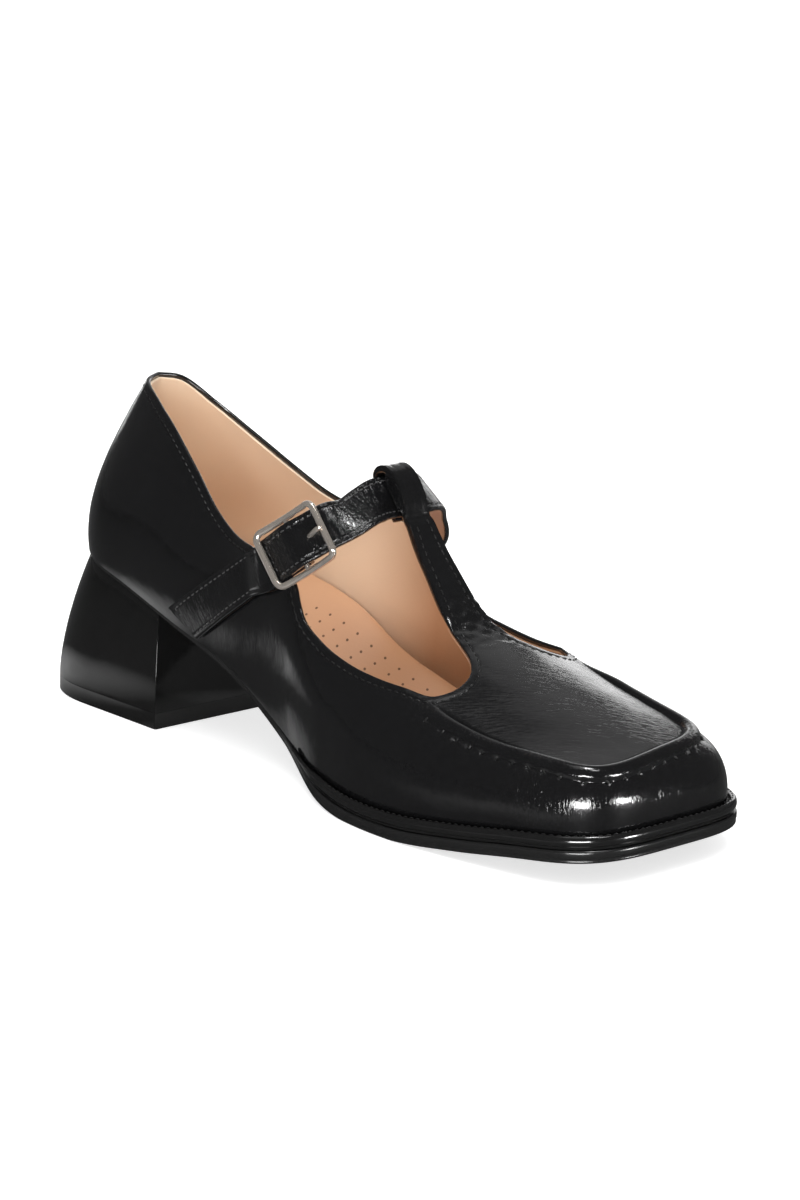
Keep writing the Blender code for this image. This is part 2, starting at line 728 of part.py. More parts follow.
def welt(sides):
    rings = []
    for k in SIDES:
        side = sides[k]
        first = np.interp(WELT_TAPER[0], side.foot[:, 0], side.station)
        waist = np.linspace(first, 2, WELT_WAIST_STEPS)[:-1]
        station = np.concatenate([waist, WELT_FLANK, WELT_TOE])
        x = side.get("foot", station)[:, 0]
        grow = WELT_LOW + (1 - WELT_LOW) * ramp(x, *WELT_TAPER)
        shift = (SOLE.at("out", x) - SOLE.rows[-1, 1])[:, None]
        inner = WELT.col("out")[0]
        width = np.maximum(grow, WELT_NARROW)[:, None]
        out = inner + (WELT.col("out") - inner) * width + np.maximum(shift, WELT_TUCK)
        up = GAP + (WELT.col("up") - GAP) * grow[:, None]
        rings.append(edge_profile(side, station, np.maximum(out, WELT_CLEAR), up))
    return loft(np.concatenate([rings[0], rings[1][-2::-1]]))


HEEL_STATIONS = np.array([0.0, 0.06, 0.13, 0.21, 0.3, 0.4, 0.5, 0.6, 0.7, 0.8, 0.9, 0.97, 1.0])


def heel_plan(side):
    """Top and foot outlines of the heel on one side, by station from back to breast."""
    station = np.linspace(0, 2, DENSE)
    foot = side.get("foot", station)
    top = foot + unit(side.get("normal", station)) * (SOLE.rows[0, 1] - HEEL_TOP_INSET)
    top[:, 2] = foot[:, 2] - SOLE.at("thick", foot[:, 0]) - GAP
    top = along(top[top[:, 0] <= HEEL_TOP_FRONT], HEEL_STATIONS)
    x = HEEL_BACK + (HEEL_FRONT - HEEL_BACK) * (1 - np.cos(np.linspace(0, np.pi / 2, DENSE)))
    y = side.side * HEEL_HALF * cap(x - HEEL_BACK, *HEEL_FOOT_CAP)
    low = along(np.column_stack([x, y, np.full(DENSE, HEEL_LIFT + GAP)]), HEEL_STATIONS)
    return top, low


def heel(sides):
    profiles = []
    for k in SIDES:
        top, low = heel_plan(sides[k])
        profile = []
        for t, sink in zip(HEEL_RISE, HEEL_SINK):
            here = top + (low - top) * t
            here[:, :2] = top[:, :2] + (low - top)[:, :2] * (1 - (1 - t)**HEEL_FLARE)
            inward = unit((HEEL_MIDDLE - here) * np.array([1, 1, 0]))
            profile.append(here + inward * sink)
        profiles.append(np.stack(profile, 1))
    return ladder(profiles[0], profiles[1], RUNGS)


def top_lift(sides):
    profiles = []
    for k in SIDES:
        low = heel_plan(sides[k])[1]
        inward = unit((HEEL_MIDDLE - low) * np.array([1, 1, 0]))
        profile = []
        for z, sink in LIFT_EDGE.rows:
            point = low + inward * sink
            point[:, 2] = z
            profile.append(point)
        profiles.append(np.stack(profile, 1))
    return ladder(profiles[0], profiles[1], RUNGS)


# Straps and buckle

SEWN_POINTS = 6
STRAP_RINGS = 56
CHAPE_RINGS = 44
PRONG_RINGS = 20
HOOK_POINTS = 7
PRONG_HOOK_POINTS = 5
CORNER_POINTS = 5
HOLE_SIDES = 12


def buckle_frame_axes():
    e1 = unit(BUCKLE_ALONG)
    e2 = unit(BUCKLE_ACROSS - e1 * (BUCKLE_ACROSS @ e1))
    return e1, e2, np.cross(e1, e2)


def at_buckle(rows):
    """World points from (along, out) rows at the buckle."""
    e1, _, e3 = buckle_frame_axes()
    return BUCKLE + rows[:, :1] * e1 + rows[:, 1:] * e3


def sewn_route(side, thick):
    """Middle line and normals of a strap's sewn end on the quarter."""
    line = through(SEWN.points("x", "z"), SEWN_POINTS)
    points, normals = zip(*(side.on_wall(x, z) for x, z in line))
    normals = np.array(normals)
    return np.array(points) + normals * (GAP + thick / 2), normals


def band(points, normals, width, thick, count, slant):
    """Strap along smooth points and normals."""
    run = lengths(points)
    at = np.linspace(0, run[-1], count)
    path = smooth(run, points, at)
    return sweep(path, unit(smooth(run, normals, at)), band_section(width, thick), slant=slant)


def strap(sides):
    sewn, sewn_normals = sewn_route(sides[MEDIAL], STRAP_THICK)
    e3 = buckle_frame_axes()[2]
    near = STRAP_OVER[MEDIAL]
    far = STRAP_OVER[LATERAL]
    end = at_buckle(STRAP_AT_BUCKLE.rows)
    points = np.vstack([sewn, near.points("x", "y", "z"), LOOP, far.points("x", "y", "z"), end])
    over = [near.points("nx", "ny", "nz"), LOOP_OUT, far.points("nx", "ny", "nz")]
    normals = np.vstack([sewn_normals, *over, np.tile(e3, (len(end), 1))])
    return band(points, normals, STRAP_WIDTH, STRAP_THICK, STRAP_RINGS, SEWN_SLANT)


def chape(sides):
    sewn, sewn_normals = sewn_route(sides[LATERAL], CHAPE_THICK)
    e1, _, e3 = buckle_frame_axes()
    radius = BAR_RADIUS + GAP + CHAPE_THICK / 2
    turn = np.radians(np.linspace(*CHAPE_HOOK, HOOK_POINTS))
    hook = np.column_stack([radius * np.cos(turn), -BUCKLE_DIP + radius * np.sin(turn)])
    rows = np.vstack([CHAPE_AT_BUCKLE.rows, hook])
    hook_normals = [-(np.cos(t) * e1 + np.sin(t) * e3) for t in turn]
    free = at_buckle(rows)
    straight = np.tile(e3, (len(rows) - len(hook), 1))
    points = np.vstack([sewn, free])
    normals = np.vstack([sewn_normals, straight, hook_normals])
    return band(points, normals, STRAP_WIDTH, CHAPE_THICK, CHAPE_RINGS, -SEWN_SLANT)


def buckle_ring():
    """Rounded square of wire that dips a little where the centre bar joins it."""
    e1, e2, e3 = buckle_frame_axes()
    half = np.array([BUCKLE_LENGTH, BUCKLE_WIDTH]) / 2 - BUCKLE_WIRE
    centre = half - BUCKLE_CORNER
    path = []
    for sx, sy, start in ((1, 1, 0), (-1, 1, 90), (-1, -1, 180), (1, -1, 270)):
        for turn in np.radians(start + np.linspace(0, 90, CORNER_POINTS)):
            rounding = BUCKLE_CORNER * np.array([np.cos(turn), np.sin(turn)])
            path.append(np.array([sx, sy]) * centre + rounding)
        if sx == sy:
            path.append((0.5 * centre[0] * sx, sy * half[1]))
            path.append((0.0, sy * half[1]))
            path.append((-0.5 * centre[0] * sx, sy * half[1]))
    path = np.array(path)
    dip = -BUCKLE_DIP * np.clip(1 - (path[:, 0] / half[0])**2, 0, 1)
    points = BUCKLE + path[:, :1] * e1 + path[:, 1:] * e2 + dip[:, None] * e3
    return sweep(points, np.tile(e3, (len(points), 1)), wire_section(BUCKLE_WIRE), closed=True)


def buckle_bar():
    _, e2, e3 = buckle_frame_axes()
    reach = BUCKLE_WIDTH / 2 - BUCKLE_WIRE
    ends = [BUCKLE - e3 * BUCKLE_DIP + e2 * reach * k for k in (-1, 1)]
    return sweep(np.array(ends), np.tile(e3, (2, 1)), wire_section(BAR_RADIUS))


def prong_path():
    radius = BAR_RADIUS + GAP + PRONG_WIRE
    turn = np.radians(np.linspace(*PRONG_HOOK, PRONG_HOOK_POINTS))
    hook = np.column_stack([radius * np.cos(turn), -BUCKLE_DIP + radius * np.sin(turn)])
    return np.vstack([hook, PRONG_ROUTE.rows])


def prong():
    e2 = buckle_frame_axes()[1]
    path = through(at_buckle(prong_path()), PRONG_RINGS)
    return sweep(path, np.tile(e2, (len(path), 1)), wire_section(PRONG_WIRE))


def prong_hole():
    """Cutter for the strap's hole, along the prong's way through it."""
    e2 = buckle_frame_axes()[1]
    rows = PRONG_ROUTE.rows
    way = unit(rows[2] - rows[0])
    ends = at_buckle(np.array([rows[1] - way * HOLE_REACH, rows[1] + way * HOLE_REACH]))
    return sweep(ends, np.tile(e2, (2, 1)), wire_section(PRONG_WIRE + HOLE_ROOM, HOLE_SIDES))


def prong_slot():
    """Cutter for the slot in the chape's fold."""
    e1, _, e3 = buckle_frame_axes()
    start = BUCKLE - e1 * SLOT_BACK - e3 * (BUCKLE_DIP + SLOT_DROP)
    ends = np.array([start, start + e1 * SLOT_LENGTH])
    corners = np.array([(-1, -1), (1, -1), (1, 1), (-1, 1)])
    section = corners * np.array([PRONG_WIRE + SLOT_ROOM, SLOT_DEPTH])
    return sweep(ends, np.tile(e3, (2, 1)), section)


def all_shapes():
    sides = {k: Side(k) for k in SIDES}
    return {
        "outsole": outsole(sides),
        "welt": welt(sides),
        "heel": heel(sides),
        "top_lift": top_lift(sides),
        "upper": upper(sides),
        "insole": insole(sides),
        "strap": strap(sides),
        "chape": chape(sides),
        "buckle_frame": buckle_ring(),
        "buckle_prong": prong(),
        "buckle_bar_cutter": buckle_bar(),
        "prong_hole_cutter": prong_hole(),
        "prong_slot_cutter": prong_slot()}


# Blender objects

PATENT = ((0.006, 0.006, 0.007), 0.18, 0.0)
RUBBER = ((0.012, 0.012, 0.012), 0.45, 0.0)
LINING = ((0.62, 0.36, 0.2), 0.6, 0.0)
METAL = ((0.72, 0.68, 0.64), 0.2, 1.0)
LOOKS = {
    "outsole": RUBBER,
    "welt": PATENT,
    "heel": PATENT,
    "top_lift": RUBBER,
    "upper": PATENT,
    "insole": LINING,
    "strap": PATENT,
    "chape": PATENT,
    "buckle_frame": METAL,
    "buckle_prong": METAL}


def material(name):
    color, roughness, metallic = LOOKS[name]
    mat = bpy.data.materials.new(name)
    mat.use_nodes = True
    shader = mat.node_tree.nodes["Principled BSDF"]
    shader.inputs["Base Color"].default_value = (*color, 1)
    shader.inputs["Roughness"].default_value = roughness
    shader.inputs["Metallic"].default_value = metallic
    return mat


def add_object(name, shape, origin):
    points, faces = shape
    mesh = bpy.data.meshes.new(name)
    mesh.from_pydata([tuple(p) for p in (points - origin) * MM], [], faces)
    work = bmesh.new()
    work.from_mesh(mesh)
    bmesh.ops.recalc_face_normals(work, faces=work.faces)
    work.to_mesh(mesh)
    work.free()
    mesh.shade_smooth()
    mesh.set_sharp_from_angle(angle=SHARP_ANGLE)
    obj = bpy.data.objects.new(name, mesh)
    bpy.context.scene.collection.objects.link(obj)
    return obj


def boolean(obj, other, operation):
    other.hide_render = True
    other.display_type = "WIRE"
    change = obj.modifiers.new(operation.lower(), "BOOLEAN")
    change.operation = operation
    change.solver = "EXACT"
    change.object = other


def main():
    for obj in list(bpy.data.objects):
        bpy.data.objects.remove(obj)
    shapes = all_shapes()
    solid = np.vstack([points for name, (points, _) in shapes.items() if not name.endswith("cutter")])
    low, high = solid.min(0), solid.max(0)
    origin = np.array([(low[0] + high[0]) / 2, (low[1] + high[1]) / 2, 0.0])
    made = {}
    for name, shape in shapes.items():
        made[name] = add_object(name, shape, origin)
        if name in LOOKS:
            made[name].data.materials.append(material(name))
    boolean(made["buckle_frame"], made["buckle_bar_cutter"], "UNION")
    boolean(made["strap"], made["prong_hole_cutter"], "DIFFERENCE")
    boolean(made["chape"], made["prong_slot_cutter"], "DIFFERENCE")


main()
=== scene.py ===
"""Looks of the T-bar pump shoe: crinkled patent leather, tan lining, stitches, buckle and glossy heel.

The forms repeat the part's own curves at finer steps, in millimetres and in its design frame: +X to the
toe, +Y to the inner side, +Z up. Meshes are in metres in the part's frame.
"""

import bpy
import numpy as np
from mathutils import Matrix, Vector, noise
from mathutils.bvhtree import BVHTree
from mathutils.kdtree import KDTree


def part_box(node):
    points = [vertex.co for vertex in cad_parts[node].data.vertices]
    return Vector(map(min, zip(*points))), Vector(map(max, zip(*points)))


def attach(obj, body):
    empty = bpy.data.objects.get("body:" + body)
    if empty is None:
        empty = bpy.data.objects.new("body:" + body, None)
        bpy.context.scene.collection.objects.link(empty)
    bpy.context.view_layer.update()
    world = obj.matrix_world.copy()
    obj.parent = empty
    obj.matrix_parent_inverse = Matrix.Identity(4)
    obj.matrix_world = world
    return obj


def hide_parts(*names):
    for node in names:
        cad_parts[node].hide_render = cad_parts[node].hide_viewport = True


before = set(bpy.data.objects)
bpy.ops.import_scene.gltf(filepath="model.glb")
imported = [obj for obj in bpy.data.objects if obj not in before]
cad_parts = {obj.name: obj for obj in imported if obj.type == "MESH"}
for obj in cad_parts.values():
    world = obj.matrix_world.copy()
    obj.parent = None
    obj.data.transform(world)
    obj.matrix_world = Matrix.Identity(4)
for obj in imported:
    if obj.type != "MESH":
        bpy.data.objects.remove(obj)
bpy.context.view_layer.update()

MM = 0.001
LATERAL, MEDIAL = -1, 1
SIDES = (LATERAL, MEDIAL)
COLUMN = {LATERAL: "lat", MEDIAL: "med"}

# General sizes
GAP = 0.3
WALL = 2.0
SHOE_LENGTH = 248.0
INSOLE_THICK = 3.0
INSOLE_SIDE_GAP = 0.45
HEEL_LIFT = 5.0
STRAP_WIDTH = 13.8
STRAP_THICK = 1.8
CHAPE_THICK = 1.6


class Table:
    """Rows of sizes along one key column, read as smooth curves."""

    def __init__(self, columns, rows):
        self.names = columns.split()
        self.rows = np.array(rows, float)

    def col(self, name):
        return self.rows[:, self.names.index(name)]

    def at(self, name, key):
        return smooth(self.rows[:, 0], self.col(name), key)

    def points(self, *names):
        return np.stack([self.col(name) for name in names], -1)


# Last: half widths and height of the feather line, where the upper's wall meets the sole
FOOT = Table("x lat med z", [
    (0, 27.0, 26.0, 49.6),
    (30, 28.9, 27.3, 43.8),
    (60, 30.0, 25.6, 35.7),
    (90, 30.3, 23.2, 26.9),
    (118, 32.6, 24.8, 14.2),
    (145, 40.0, 32.0, 5.0),
    (160, 43.0, 35.8, 3.6),
    (182, 43.6, 38.8, 3.6),
    (205, 40.8, 38.2, 5.9),
    (230, 36.5, 34.0, 9.2),
    (248, 33.0, 29.6, 10.6)])
# Rounded ends of the foot's outline: reach and squareness
HEEL_CAP = (27.0, 2.26)
TOE_CAP = (28.0, 4.0)

# Belly of the wall: how far its control point lies outside the feather line, and how high
BELLY = Table("x out rise", [
    (0, 2.4, 0.42),
    (30, 3.4, 0.45),
    (60, 4.5, 0.50),
    (118, 4.5, 0.55),
    (145, 4.0, 0.62),
    (175, 3.0, 0.75),
    (205, 2.5, 0.80),
    (251, 2.5, 0.75)])

# Topline of the quarters, from the back to the throat
COLLAR = {
    LATERAL: Table("x y z", [
        (15.5, 0.0, 103.2),
        (20.5, -7.8, 102.8),
        (33.5, -14.0, 98.6),
        (49.0, -19.0, 92.0),
        (63.0, -21.8, 82.3),
        (77.0, -24.5, 72.0),
        (88.7, -27.0, 67.4),
        (98.0, -29.5, 66.6),
        (112.0, -31.8, 65.2),
        (119.5, -32.8, 63.2),
        (123.5, -33.2, 60.0),
        (125.5, -33.8, 56.0),
        (129.0, -34.6, 51.3),
        (137.0, -35.3, 46.8),
        (149.0, -35.5, 43.0),
        (163.0, -34.5, 40.8)]),
    MEDIAL: Table("x y z", [
        (15.5, 0.0, 103.2),
        (17.0, 8.0, 101.8),
        (25.5, 16.0, 94.0),
        (41.0, 20.8, 84.8),
        (58.0, 23.0, 77.0),
        (73.0, 25.0, 70.8),
        (88.0, 26.8, 68.0),
        (98.0, 28.0, 68.3),
        (112.0, 29.0, 66.8),
        (119.5, 29.4, 62.8),
        (123.5, 29.6, 58.2),
        (125.5, 29.8, 53.2),
        (129.0, 30.0, 49.3),
        (137.0, 30.2, 45.2),
        (149.0, 30.3, 42.9),
        (163.0, 30.0, 41.7)])}

# Bead seam of the apron: half widths, with a rounded square front that is skewed a little
SEAM = Table("x lat med", [
    (172, 32.9, 29.6),
    (196, 33.4, 28.4),
    (212, 32.4, 26.8),
    (228, 29.8, 24.4),
    (240.8, 26.8, 22.0)])
# Rounded front of the seam, its skew, and where the bead rises from the leather
SEAM_CAP = (13.0, 3.4)
SEAM_SKEW = 0.15
BEAD_FADE = (178.0, 198.0)

# Crown of the apron: ridge height, and how far it has dropped at the half width
CROWN = Table("x z half drop", [
    (160, 55.6, 34.0, 9.5),
    (165, 51.8, 34.0, 9.5),
    (170, 49.6, 34.0, 9.5),
    (180, 46.8, 34.0, 9.6),
    (190, 44.4, 34.0, 9.8),
    (200, 42.0, 34.0, 9.4),
    (212, 39.2, 34.0, 8.0),
    (226, 35.4, 33.0, 4.4),
    (240, 31.6, 31.0, 1.2),
    (247, 29.8, 30.0, 0.8)])

# Edge of each cut-out beside the T-bar, from the seam's start to the foot of the bar
THROAT = {
    LATERAL: Table("x y", [(181.5, -29.6), (184.2, -24.0), (183.0, -17.8), (178.5, -13.2),
                           (169.5, -9.2)]),
    MEDIAL: Table("x y", [(179.0, 26.2), (181.6, 21.0), (180.5, 15.8), (176.5, 12.0),
                          (169.0, 9.0)])}
BAR_FOOT = (163.0, 7.6)

# T-bar: its outer face from the foot up over the strap, with half widths
BAR = Table("x z half", [
    (157.5, 58.6, 6.6),
    (151.4, 65.5, 5.7),
    (147.4, 70.0, 5.3),
    (144.6, 73.8, 5.0),
    (142.2, 77.4, 4.7)])
BAR_THICK = 2.2
FOLD_THICK = 1.6
FOLD_END = -6.9

# Where the strap goes through the loop: middle of the strap and its slope across the foot
LOOP = np.array([131.4, 0.0, 84.4])
LOOP_UP = np.array([-0.65, 0.0, 0.76])
LOOP_OUT = np.array([0.76, 0.0, 0.65])

# Rolled loop at the top of the T-bar: its outer face up the strap's front, over it and down behind
LOOP_ROLL = Table("up out half", [
    (-8.6, 3.75, 4.5),
    (-5.5, 5.0, 4.4),
    (-2.1, 6.0, 4.3),
    (1.2, 6.5, 4.2),
    (4.6, 6.1, 4.2),
    (7.4, 4.9, 4.2),
    (9.3, 2.9, 4.2),
    (9.9, 0.6, 4.2),
    (9.2, -1.6, 4.2),
    (7.4, -2.75, 4.2)])

# Outsole: how far it stands out from the wall, and its thickness
SOLE = Table("x out thick", [
    (0, -0.7, 1.4),
    (60, -0.7, 1.4),
    (90, -0.5, 1.9),
    (116, -0.1, 2.6),
    (134, 1.2, 3.4),
    (150, 2.7, 3.6),
    (166, 3.3, 3.6),
    (251, 3.3, 3.6)])
SOLE_EDGE = Table("out down", [
    (-0.35, 0.0),
    (0.0, 0.12),
    (0.0, 0.55),
    (-0.25, 0.7),
    (-0.1, 0.88),
    (-0.5, 1.0)])
SOLE_EDGE_START = (110.0, 140.0)
INSOLE_EDGE = Table("out up", [(-1.2, 1.0), (0.0, 0.75), (0.0, 0.25), (-0.5, 0.0)])

# Welt: section beside the wall, and where it starts on each side of the waist
WELT = Table("out up", [(1.2, 0.3), (1.4, 3.5), (1.8, 4.0), (2.4, 4.0), (2.9, 3.5), (3.2, 2.6),
                        (3.1, 1.5), (2.6, 0.8), (2.6, 0.3)])
WELT_TAPER = (128.0, 148.0)
WELT_LOW = 0.35
WELT_NARROW = 0.5
WELT_TUCK = -0.6
WELT_CLEAR = 0.6

# Heel: plan of its foot, and its upright profile
HEEL_BACK = -9.6
HEEL_FRONT = 57.0
HEEL_TOP_FRONT = 54.0
HEEL_HALF = 32.6
HEEL_FOOT_CAP = (32.0, 2.6)
HEEL_STEPS = (0.0, 0.012, 0.03, 0.07, 0.12, 0.2, 0.3, 0.4, 0.5, 0.6, 0.7, 0.8, 0.88, 0.94, 0.97, 0.996, 1.0)
HEEL_ROUND = Table("down sink", [(0.0, 0.3), (0.012, 0.1), (0.03, 0.0), (0.996, 0.0), (1.0, 0.05)])
HEEL_FLARE = 1.6
HEEL_MIDDLE = np.array([30.0, 0.0, 0.0])
HEEL_TOP_INSET = 0.1
LIFT_EDGE = Table("z sink", [(HEEL_LIFT + 0.25, 0.05), (HEEL_LIFT + 0.1, 0.0), (0.4, 0.0), (0.0, 0.4)])

# Buckle: middle, directions along the strap and across it, and sizes
BUCKLE = np.array([125.6, -35.6, 73.2])
BUCKLE_ALONG = np.array([0.759, 0.297, 0.579])
BUCKLE_ACROSS = np.array([-0.583, -0.085, 0.808])
BUCKLE_LENGTH = 24.4
BUCKLE_WIDTH = 19.5
BUCKLE_CORNER = 2.4
BUCKLE_WIRE = 1.05
BUCKLE_DIP = 1.6
BAR_RADIUS = 0.9
PRONG_WIRE = 0.75

# Routes near the buckle: along the strap and out of it
STRAP_AT_BUCKLE = Table("along out", [
    (11.2, -2.3),
    (5.6, -0.95),
    (0.0, 0.55),
    (-5.6, -0.95),
    (-10.9, -2.3),
    (-12.0, -2.45)])
CHAPE_AT_BUCKLE = Table("along out", [(-15.0, -4.7), (-11.4, -4.45), (-5.0, -3.95)])
PRONG_ROUTE = Table("along out", [(2.8, -2.3), (5.2, -0.75), (8.0, 1.1), (10.2, 2.15), (12.2, 2.25)])
# Turns round the buckle's bar, in degrees
CHAPE_HOOK = (-90.0, 5.0)
PRONG_HOOK = (190.0, 310.0)

# Sewn ends of the straps on the quarters: middle line and slant of the cut
SEWN = Table("x z", [(70.5, 37.6), (82.0, 45.4), (102.0, 58.8)])
SEWN_SLANT = 7.0
SLANT_FADE = 16.0

# Free stretches of the strap over the instep: places and outward directions
STRAP_OVER = {
    MEDIAL: Table("x y z nx ny nz", [
        (112.0, 31.2, 66.0, 0.15, 0.95, 0.25),
        (121.6, 22.2, 77.6, 0.36, 0.74, 0.57),
        (128.9, 13.4, 83.4, 0.62, 0.3, 0.72),
        (131.4, 6.0, 84.4, 0.76, 0.0, 0.65)]),
    LATERAL: Table("x y z nx ny nz", [
        (131.4, -6.0, 84.4, 0.76, 0.0, 0.65),
        (133.9, -14.8, 83.6, 0.6, -0.38, 0.7),
        (135.5, -22.9, 81.8, 0.42, -0.72, 0.53)])}


# Curves

def smooth(keys, values, key):
    """Cubic curve through values, with slopes taken from the neighbours."""
    keys = np.asarray(keys, float)
    values = np.asarray(values, float)
    key = np.clip(np.asarray(key, float), keys[0], keys[-1])
    flat = (-1,) + (1,) * (values.ndim - 1)
    step = np.diff(keys).reshape(flat)
    rise = np.diff(values, axis=0) / step
    slope = np.empty_like(values)
    slope[0] = rise[0]
    slope[-1] = rise[-1]
    slope[1:-1] = (rise[:-1] * step[1:] + rise[1:] * step[:-1]) / (step[:-1] + step[1:])
    i = np.clip(np.searchsorted(keys, key) - 1, 0, len(keys) - 2)
    h = keys[i + 1] - keys[i]
    t = (key - keys[i]) / h
    if values.ndim > 1:
        t = t[..., None]
        h = h[..., None]
    start = (2 * t**3 - 3 * t**2 + 1) * values[i] + (t**3 - 2 * t**2 + t) * h * slope[i]
    end = (3 * t**2 - 2 * t**3) * values[i + 1] + (t**3 - t**2) * h * slope[i + 1]
    return start + end


def lengths(points):
    """Run of a polyline up to each of its points."""
    steps = np.linalg.norm(np.diff(points, axis=0), axis=1)
    return np.concatenate([[0.0], np.cumsum(steps)])


def through(points, count):
    """Smooth curve through points, evenly sampled."""
    points = np.asarray(points, float)
    run = lengths(points)
    return smooth(run, points, np.linspace(0, run[-1], count))


def sample(keys, points, at):
    """Points at given keys, straight between the known ones."""
    return np.stack([np.interp(at, keys, points[:, k]) for k in range(points.shape[1])], -1)


def along(points, fractions):
    """Points at fractions of a polyline's length."""
    run = lengths(points)
    return sample(run, points, np.asarray(fractions) * run[-1])


def across(points, fractions):
    """Points at even steps of x along a polyline."""
    x = points[:, 0]
    return sample(x, points, x[0] + np.asarray(fractions) * (x[-1] - x[0]))


def unit(v):
    """Vectors of length one."""
    return v / (np.linalg.norm(v, axis=-1, keepdims=True) + 1e-12)


def ramp(x, start, end):
    """Soft rise from 0 at start to 1 at end."""
    t = np.clip((np.asarray(x, float) - start) / (end - start), 0, 1)
    return t * t * (3 - 2 * t)


def cap(distance, reach, power):
    """Rounded end of an outline: 0 at the tip and 1 from reach on."""
    q = np.clip(1 - np.asarray(distance, float) / reach, 0, 1)
    return np.clip(1 - q**power, 0, 1)**(1 / power)


# Main curves of the last

DENSE = 1500
FLAT_AREA = 0.01
WELD_DIGITS = 3
PART_SAMPLES = 300
FRONT_FROM = 150.0
SOLVE_STEPS = 20
SOLVE_STEP = 0.01
SOLVE_FROM = 0.3
FOOT_SPLIT = (40.0, 174.0)
COLLAR_SPLIT = 46.0
DROP_FADE = (1.9, 2.05)


def crown(x, y):
    """Height of the apron's top."""
    return CROWN.at("z", x) - CROWN.at("drop", x) * (np.abs(y) / CROWN.at("half", x))**2


def feather(side):
    """Feather line of one side, from heel to toe."""
    turn = np.linspace(0, np.pi, DENSE)
    x = SHOE_LENGTH * (1 - np.cos(turn)) / 2
    half = FOOT.at(COLUMN[side], x) * cap(x, *HEEL_CAP) * cap(SHOE_LENGTH - x, *TOE_CAP)
    return np.stack([x, side * half, FOOT.at("z", x)], -1)


def seam(side):
    """Bead seam of one side, from its start to the toe."""
    start, end = SEAM.rows[0, 0], SEAM.rows[-1, 0]
    x = start + (end - start) * np.sin(np.linspace(0, np.pi / 2, DENSE))
    y = side * SEAM.at(COLUMN[side], x) * cap(end - x, *SEAM_CAP)
    x = x - SEAM_SKEW * y * ramp(x, start, end)
    return np.stack([x, y, crown(x, y)], -1)


def collar(side):
    """Topline of one side, from the back to the start of the seam."""
    rows = COLLAR[side].points("x", "y", "z")
    return through(np.vstack([rows, seam(side)[:1]]), DENSE)


def corner(curve):
    """Index where a rounded front turns halfway."""
    step = np.abs(np.diff(curve[:, :2], axis=0))
    return int(np.argmax((step[:, 1] > step[:, 0]) & (curve[1:, 0] > FRONT_FROM)))


def outward(curve, side):
    """Plan normal of a curve, away from the foot."""
    step = np.gradient(curve[:, :2], axis=0)
    normal = unit(np.stack([step[:, 1], -step[:, 0]], -1)) * -side
    normal[0] = (-1, 0)
    normal[-1] = (1, 0)
    return np.hstack([normal, np.zeros((len(curve), 1))])


class Side:
    """Feather line, belly and topline of one side by station: 0-1 back, 1-2 quarter, 2-3 flank, 3-4 toe."""

    def __init__(self, side):
        self.side = side
        q = np.linspace(0, 1, PART_SAMPLES)
        self.station = np.concatenate([k + q for k in range(4)])
        foot = feather(side)
        foot = np.hstack([foot, outward(foot, side)])
        back = np.searchsorted(foot[:, 0], FOOT_SPLIT[0])
        ball = np.searchsorted(foot[:, 0], FOOT_SPLIT[1])
        toe = corner(foot)
        foot = np.vstack([along(foot[:back + 1], q), across(foot[back:ball + 1], q),
                          along(foot[ball:toe + 1], q), along(foot[toe:], q)])
        self.foot = foot[:, :3]
        self.normal = unit(foot[:, 3:])
        rim = collar(side)
        back = int(np.argmax(rim[:, 0] > COLLAR_SPLIT))
        bead = seam(side)
        toe = corner(bead)
        self.top = np.vstack([along(rim[:back + 1], q), across(rim[back:], q),
                              along(bead[:toe + 1], q), along(bead[toe:], q)])
        height = self.top[:, 2] - self.foot[:, 2]
        out = BELLY.at("out", self.foot[:, 0])
        rise = BELLY.at("rise", self.foot[:, 0]) * height
        self.belly = self.foot + self.normal * out[:, None] + np.array([0, 0, 1.0]) * rise[:, None]

    def get(self, curve, station):
        return sample(self.station, getattr(self, curve), station)

    def wall(self, station, v):
        """Outer face of the upper's wall, v from 0 at the sole to 1 at the top."""
        v = np.asarray(v, float)[..., None]
        return ((1 - v)**2 * self.get("foot", station) + 2 * v * (1 - v) * self.get("belly", station)
                + v**2 * self.get("top", station))

    def on_wall(self, x, z):
        """Point and normal of the wall where it has the given x and z."""
        p = np.array([1 + (x - FOOT_SPLIT[0]) / (FOOT_SPLIT[1] - FOOT_SPLIT[0]), SOLVE_FROM])
        for _ in range(SOLVE_STEPS):
            here = self.wall(p[0], p[1])
            by_station = (self.wall(p[0] + SOLVE_STEP, p[1]) - here) / SOLVE_STEP
            by_v = (self.wall(p[0], p[1] + SOLVE_STEP) - here) / SOLVE_STEP
            jacobian = np.array([[by_station[0], by_v[0]], [by_station[2], by_v[2]]])
            p = p + np.linalg.solve(jacobian, np.array([x - here[0], z - here[2]]))
        normal = unit(np.cross(by_station, by_v))
        return self.wall(p[0], p[1]), normal * np.sign(normal[1] * self.side)


# Mesh helpers: a shape is a list of points and a list of faces

def grid_faces(rows, columns, start=0, ring=False, closed=False):
    """Quads of a grid. A ring joins its last column to the first, a closed one its last row too."""
    faces = []
    for i in range(rows if closed else rows - 1):
        here = start + i * columns
        ahead = start + (i + 1) % rows * columns
        for j in range(columns if ring else columns - 1):
            k = (j + 1) % columns
            faces.append((here + j, here + k, ahead + k, ahead + j))
    return faces


